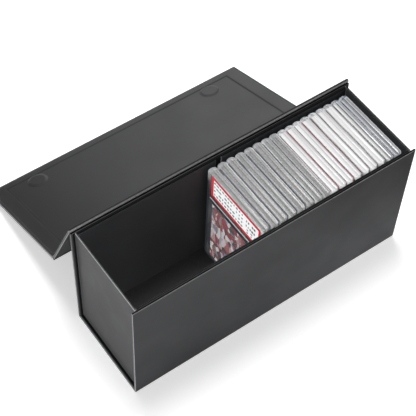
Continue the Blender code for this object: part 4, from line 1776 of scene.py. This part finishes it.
@dataclass
class Studio:
    """The pale floor, the soft lights and the photograph's camera."""

    azimuth: float = math.radians(-37.55)
    elevation: float = math.radians(54.62)
    roll: float = math.radians(2.78)
    distance: float = 1.235
    shift: Point = (-0.0354, 0.0661)
    lens: float = 105.93
    sensor: float = 36.0
    floor_height: float = -0.0002
    floor_half: float = 6.0
    floor_lift: float = 0.42
    world_light: float = 0.31

    def camera(self) -> None:
        """Set the camera as the photograph was fitted."""
        flat = math.cos(self.elevation)
        back = Vector(
            (math.sin(self.azimuth) * flat, -math.cos(self.azimuth) * flat, math.sin(self.elevation))
        )
        right = (-back).cross(UP).normalized()
        up = right.cross(-back)
        turned = math.cos(self.roll) * right + math.sin(self.roll) * up
        upright = math.cos(self.roll) * up - math.sin(self.roll) * right
        data = bpy.data.cameras.new("photo_camera")
        data.lens, data.sensor_width, data.clip_start = self.lens, self.sensor, 0.01
        made = bpy.data.objects.new("photo_camera", data)
        place = back * self.distance + right * self.shift[0] + up * self.shift[1]
        made.matrix_world = swap_axes(turned, upright, back, place)
        bpy.context.scene.collection.objects.link(made)
        bpy.context.scene.camera = made

    @staticmethod
    def lamp(
        name: str, place: Triple, target: Triple, size: float, power: float, shadow: bool = True,
        spread: float = math.pi,
    ) -> None:
        """Add a square area lamp that faces a target.

        Args:
            name: The lamp's name.
            place: Where it hangs.
            target: The point it faces.
            size: Its side in metres.
            power: Its power in watts.
            shadow: Whether pieces cast shadows in its light.
            spread: How wide its beam opens, in radians.
        """
        data = bpy.data.lights.new(name, "AREA")
        data.shape, data.size, data.energy = "SQUARE", size, power
        data.use_shadow, data.spread = shadow, spread
        made = bpy.data.objects.new(name, data)
        made.location = place
        aim = Vector(target) - Vector(place)
        made.rotation_euler = aim.to_track_quat("-Z", "Y").to_euler()
        bpy.context.scene.collection.objects.link(made)

    def world(self) -> None:
        """Light the scene softly from all round, with a white backdrop where it is seen directly."""
        world = bpy.data.worlds.new("studio")
        world.use_nodes = True
        bpy.context.scene.world = world
        net = Net(world.node_tree)
        path = net.add("ShaderNodeLightPath").outputs
        seen = net.math("MAXIMUM", path["Is Camera Ray"], path["Is Transmission Ray"])
        strength = net.math("MULTIPLY_ADD", seen, 1.0 - self.world_light, self.world_light)
        net.fill(world.node_tree.nodes["Background"], Color=(1.0, 1.0, 1.0, 1.0), Strength=strength)

    def floor(self) -> None:
        """Lay the floor, lifted to white where the camera sees it lit."""
        net = Surface("studio_floor")
        grain = net.noise(net.position, 300.0, 2.0, 0.5)
        seen = net.add("ShaderNodeLightPath").outputs["Is Camera Ray"]
        net.shade(
            Base_Color=net.mix(grain, (0.90, 0.90, 0.90), (0.92, 0.92, 0.92)),
            Roughness=0.9,
            Specular_IOR_Level=0.1,
            Emission_Color=(1.0, 1.0, 1.0, 1.0),
            Emission_Strength=net.math("MULTIPLY", seen, self.floor_lift),
        )
        draft, half = MeshDraft(), self.floor_half
        places = ((-half, -half), (half, -half), (half, half), (-half, half))
        draft.face([draft.vertex((x, y, self.floor_height)) for x, y in places])
        draft.build("studio_floor", [net.material])

    def build(self) -> None:
        """Set up the camera, the lights and the floor."""
        bpy.context.scene.view_settings.view_transform = "Standard"
        self.camera()
        self.world()
        self.floor()
        self.lamp("overhead", (0.12, 0.38, 1.8), (0.0, 0.0, 0.05), 0.6, 20.6)
        self.lamp("left_side", (-1.7, -0.3, 0.12), (0.0, 0.0, 0.07), 1.0, 29.0, shadow=False)
        self.lamp("front_low", (0.75, -1.5, 0.10), (0.14, -0.05, -0.08), 0.2, 0.12, spread=math.radians(12.0))
        self.lamp("back_right", (1.5, 2.6, 1.1), (0.1, 0.1, 0.05), 1.2, 6.0)
        log.info("studio: camera, four lamps and a floor")


# The whole object


def make_papers(groups: ShaderGroups) -> Papers:
    """Build the papers and metals of the case.

    Args:
        groups: The shared node groups.

    Returns:
        The papers and metals.
    """
    pale = (0.34, 0.34, 0.345)
    finishes = {
        "wrap": PaperFinish("wrap_paper", (0.034, 0.035, 0.037), pale, 0.46),
        # painted shade: the cover paper darkens towards the top of its right end
        "cover": PaperFinish(
            "cover_paper", (0.060, 0.061, 0.064), pale, 0.46, gloss=0.1,
            painted_light_along=(1.0, 0.0, 1.0), painted_light_span=(0.28, 0.14), painted_light_colour=(0.012, 0.012, 0.013),
        ),
        # painted light: a darker copy of the wrap paper for the end walls, as painted shade against the
        # strong left lamp, painted lighter towards the bottom
        "ends": PaperFinish(
            "end_paper", (0.021, 0.0215, 0.023), pale, 0.46,
            painted_light_span=(0.0, 0.07), painted_light_colour=(0.034, 0.0345, 0.036),
        ),
        # painted shade: the liner paper darkens towards the right
        "liner": PaperFinish(
            "liner_paper", (0.045, 0.047, 0.049), (0.30, 0.30, 0.31), 0.55, 0.5,
            painted_light_along=(1.0, 0.0, 0.0), painted_light_span=(0.05, -0.10), painted_light_colour=(0.010, 0.0115, 0.013),
        ),
        "floor": PaperFinish("floor_paper", (0.018, 0.018, 0.019), (0.07, 0.07, 0.075), 0.55, 0.5),
        # painted shade: near-black paper for board tops, ledges and the tray's back wall
        "rim": PaperFinish(
            "rim_paper", (0.006, 0.006, 0.0065), (0.03, 0.03, 0.03), 0.7, 0.5, dust=0.1, gloss=0.1
        ),
        # painted light: near-black paper as shade on the folds, with its edge colour as the painted highlight
        # on their crowns
        "fold": PaperFinish("fold_paper", (0.008, 0.008, 0.009), (0.25, 0.25, 0.255), 0.5, gloss=0.2),
        # painted shade: the lining paper darkens towards the left
        "lining": PaperFinish(
            "lining_paper", (0.0295, 0.0300, 0.0320), (0.16, 0.16, 0.165), 0.38, 0.6, gloss=0.55,
            painted_light_along=(1.0, 0.0, 0.0), painted_light_span=(-0.17, -0.03), painted_light_colour=(0.003, 0.003, 0.004),
        ),
        "nickel": MetalFinish("magnet_nickel", (0.66, 0.64, 0.60), 0.28),
        "steel": MetalFinish("plate_steel", (0.46, 0.46, 0.47), 0.38),
    }
    return Papers(**{name: finish.build(groups) for name, finish in finishes.items()})


def make_rims(groups: ShaderGroups) -> dict[SlabTone, tuple[Material, ...]]:
    """Build the looks of the slabs' rims, each a row of bands across the thickness.

    Args:
        groups: The shared node groups.

    Returns:
        The rims of each tone.
    """
    dark, line, white = (0.035, 0.035, 0.042), (0.14, 0.14, 0.15), (0.86, 0.86, 0.86)
    grey, mid, light = (0.24, 0.24, 0.245), (0.33, 0.33, 0.335), (0.62, 0.62, 0.63)
    rose, wine, sage = (0.36, 0.28, 0.29), (0.30, 0.03, 0.07), (0.29, 0.33, 0.29)
    haze, clear = (0.56, 0.53, 0.54), (0.20, 0.22, 0.26)
    settings = {
        SlabTone.FROSTED: {"jump": 0.35, "cap": 0.4},
        SlabTone.WHITE: {"grain": 0.10, "cap": 0.9, "jump": 0.12},
        SlabTone.CLEAR: {"grain": 0.16, "roughness": 0.2, "cap": 0.7, "cap_colour": (0.08, 0.10, 0.15)},
    }
    looks = {
        SlabTone.FROSTED: (
            ((0.0, mid), (0.14, grey), (0.20, line), (0.25, mid), (0.47, grey), (0.52, dark), (0.57, mid),
             (0.80, grey), (0.85, white), (0.90, white), (0.95, line)),
            ((0.0, grey), (0.10, mid), (0.32, mid), (0.36, rose), (0.42, line), (0.47, grey), (0.66, mid),
             (0.70, dark), (0.74, grey), (0.83, light), (0.89, grey), (0.96, line)),
            ((0.0, light), (0.07, grey), (0.30, sage), (0.36, grey), (0.45, line), (0.50, mid), (0.76, grey),
             (0.80, line), (0.85, light), (0.91, mid), (0.96, line)),
        ),
        SlabTone.WHITE: (
            ((0.0, haze), (0.08, white), (0.44, white), (0.50, haze), (0.56, light), (0.80, haze),
             (0.88, light), (0.94, line)),
            ((0.0, light), (0.06, white), (0.36, white), (0.42, light), (0.66, light), (0.72, haze),
             (0.84, rose), (0.91, wine), (0.96, dark)),
            ((0.0, line), (0.08, light), (0.16, white), (0.52, white), (0.58, haze), (0.64, white),
             (0.86, light), (0.93, grey)),
        ),
        SlabTone.CLEAR: (
            ((0.0, clear), (0.10, light), (0.18, mid), (0.40, clear), (0.47, dark), (0.54, light),
             (0.62, clear), (0.84, mid), (0.92, white), (0.97, line)),
            ((0.0, line), (0.08, white), (0.30, light), (0.40, mid), (0.46, dark), (0.50, dark),
             (0.58, light), (0.80, clear), (0.90, light), (0.96, clear)),
        ),
    }
    return {
        tone: tuple(
            RimFinish(f"slab_rim_{tone.value}_{place}", bands, **settings[tone]).build(groups)
            for place, bands in enumerate(rows, 1)
        )
        for tone, rows in looks.items()
    }


def make_slab_finishes(groups: ShaderGroups) -> SlabFinishes:
    """Build the plastics and prints of the slabs.

    Args:
        groups: The shared node groups.

    Returns:
        The finished materials.
    """
    silver, ash, smoke = (0.62, 0.63, 0.65), (0.55, 0.56, 0.58), (0.030, 0.033, 0.042)
    # painted highlight: a silver strip for the bright line on the clear bar
    bar_highlight = RimFinish("slab_bar_line", ((0.0, silver), (1.0, silver)), grain=0.3, clear_colour=ash)
    carrier = RimFinish("slab_carrier", ((0.0, smoke), (1.0, smoke)), alpha=0.6, grain=0.1)
    borders = {
        "red": (0.58, 0.003, 0.024), "grey": (0.10, 0.11, 0.13),
        "rose": (0.30, 0.17, 0.18), "wine": (0.26, 0.012, 0.03),
    }
    labels = {name: LabelFinish(f"label_{name}", colour).build(groups) for name, colour in borders.items()}
    inks = (
        InkFinish("ink_black", (0.02, 0.02, 0.022), (0.07, 0.07, 0.07)),
        InkFinish("ink_teal", (0.008, 0.045, 0.055), (0.03, 0.09, 0.10)),
    )
    red, cream, blue = (0.23, 0.010, 0.022), (0.58, 0.57, 0.57), (0.20, 0.25, 0.33)
    black, brown, navy = (0.010, 0.010, 0.014), (0.16, 0.08, 0.07), (0.10, 0.20, 0.34)
    cards = (
        CardFinish("card_red", (
            (0.0, black), (0.24, red), (0.38, cream), (0.52, blue), (0.62, black), (0.74, red),
            (0.86, brown), (0.94, cream),
        )),
        CardFinish("card_blue", ((0.0, blue), (0.25, black), (0.5, navy), (0.74, cream), (0.9, red))),
    )
    return SlabFinishes(
        rims=make_rims(groups),
        window=WindowFinish("slab_window").build(groups),
        carrier=carrier.build(groups),
        bar_highlight=bar_highlight.build(groups),
        first_label=labels["red"],
        labels={
            SlabTone.FROSTED: (labels["grey"],),
            SlabTone.WHITE: (labels["rose"], labels["wine"], labels["grey"]),
            SlabTone.CLEAR: (labels["grey"],),
        },
        inks=tuple(ink.build(groups) for ink in inks),
        cards=tuple(card.build(groups) for card in cards),
    )


def main() -> None:
    logging.basicConfig(level=logging.INFO, format="%(name)s: %(message)s")
    for item in list(bpy.data.objects):
        bpy.data.objects.remove(item, do_unlink=True)
    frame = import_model()
    groups = ShaderGroups()
    papers = make_papers(groups)
    Cover(papers).build()
    Tray(papers).build()
    half_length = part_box("lid_panel")[1].x
    magnets = ((-0.1105, 0.1241), (0.1105, 0.1241))
    lid_hinge = Hinge((0.05135, 0.1471), math.radians(-67.0))
    flap_hinge = Hinge((0.0922595, 0.0507231), math.radians(-19.8285))
    FoldingBoard("lid", "lid", lid_hinge, papers, half_length, 0.0021, 0.1026, border_free=0.004).build()
    FoldingBoard("flap", "flap", flap_hinge, papers, half_length, 0.0021, 0.1456, magnets).build()
    FoldedPaper("lid_hinge", "case", lid_hinge, papers, half_length, math.radians(150.0)).build()
    FoldedPaper("flap_hinge", "lid", flap_hinge, papers, half_length, math.radians(70.0)).build()
    for side in ("left", "right"):
        repaint(frame["nodes"][f"flap_magnet_{side}"], papers.nickel)
        repaint(frame["nodes"][f"catch_plate_{side}"], papers.steel)
    SlabRow(make_slab_finishes(groups)).build()
    Studio().build()


if __name__ == "__main__":
    main()
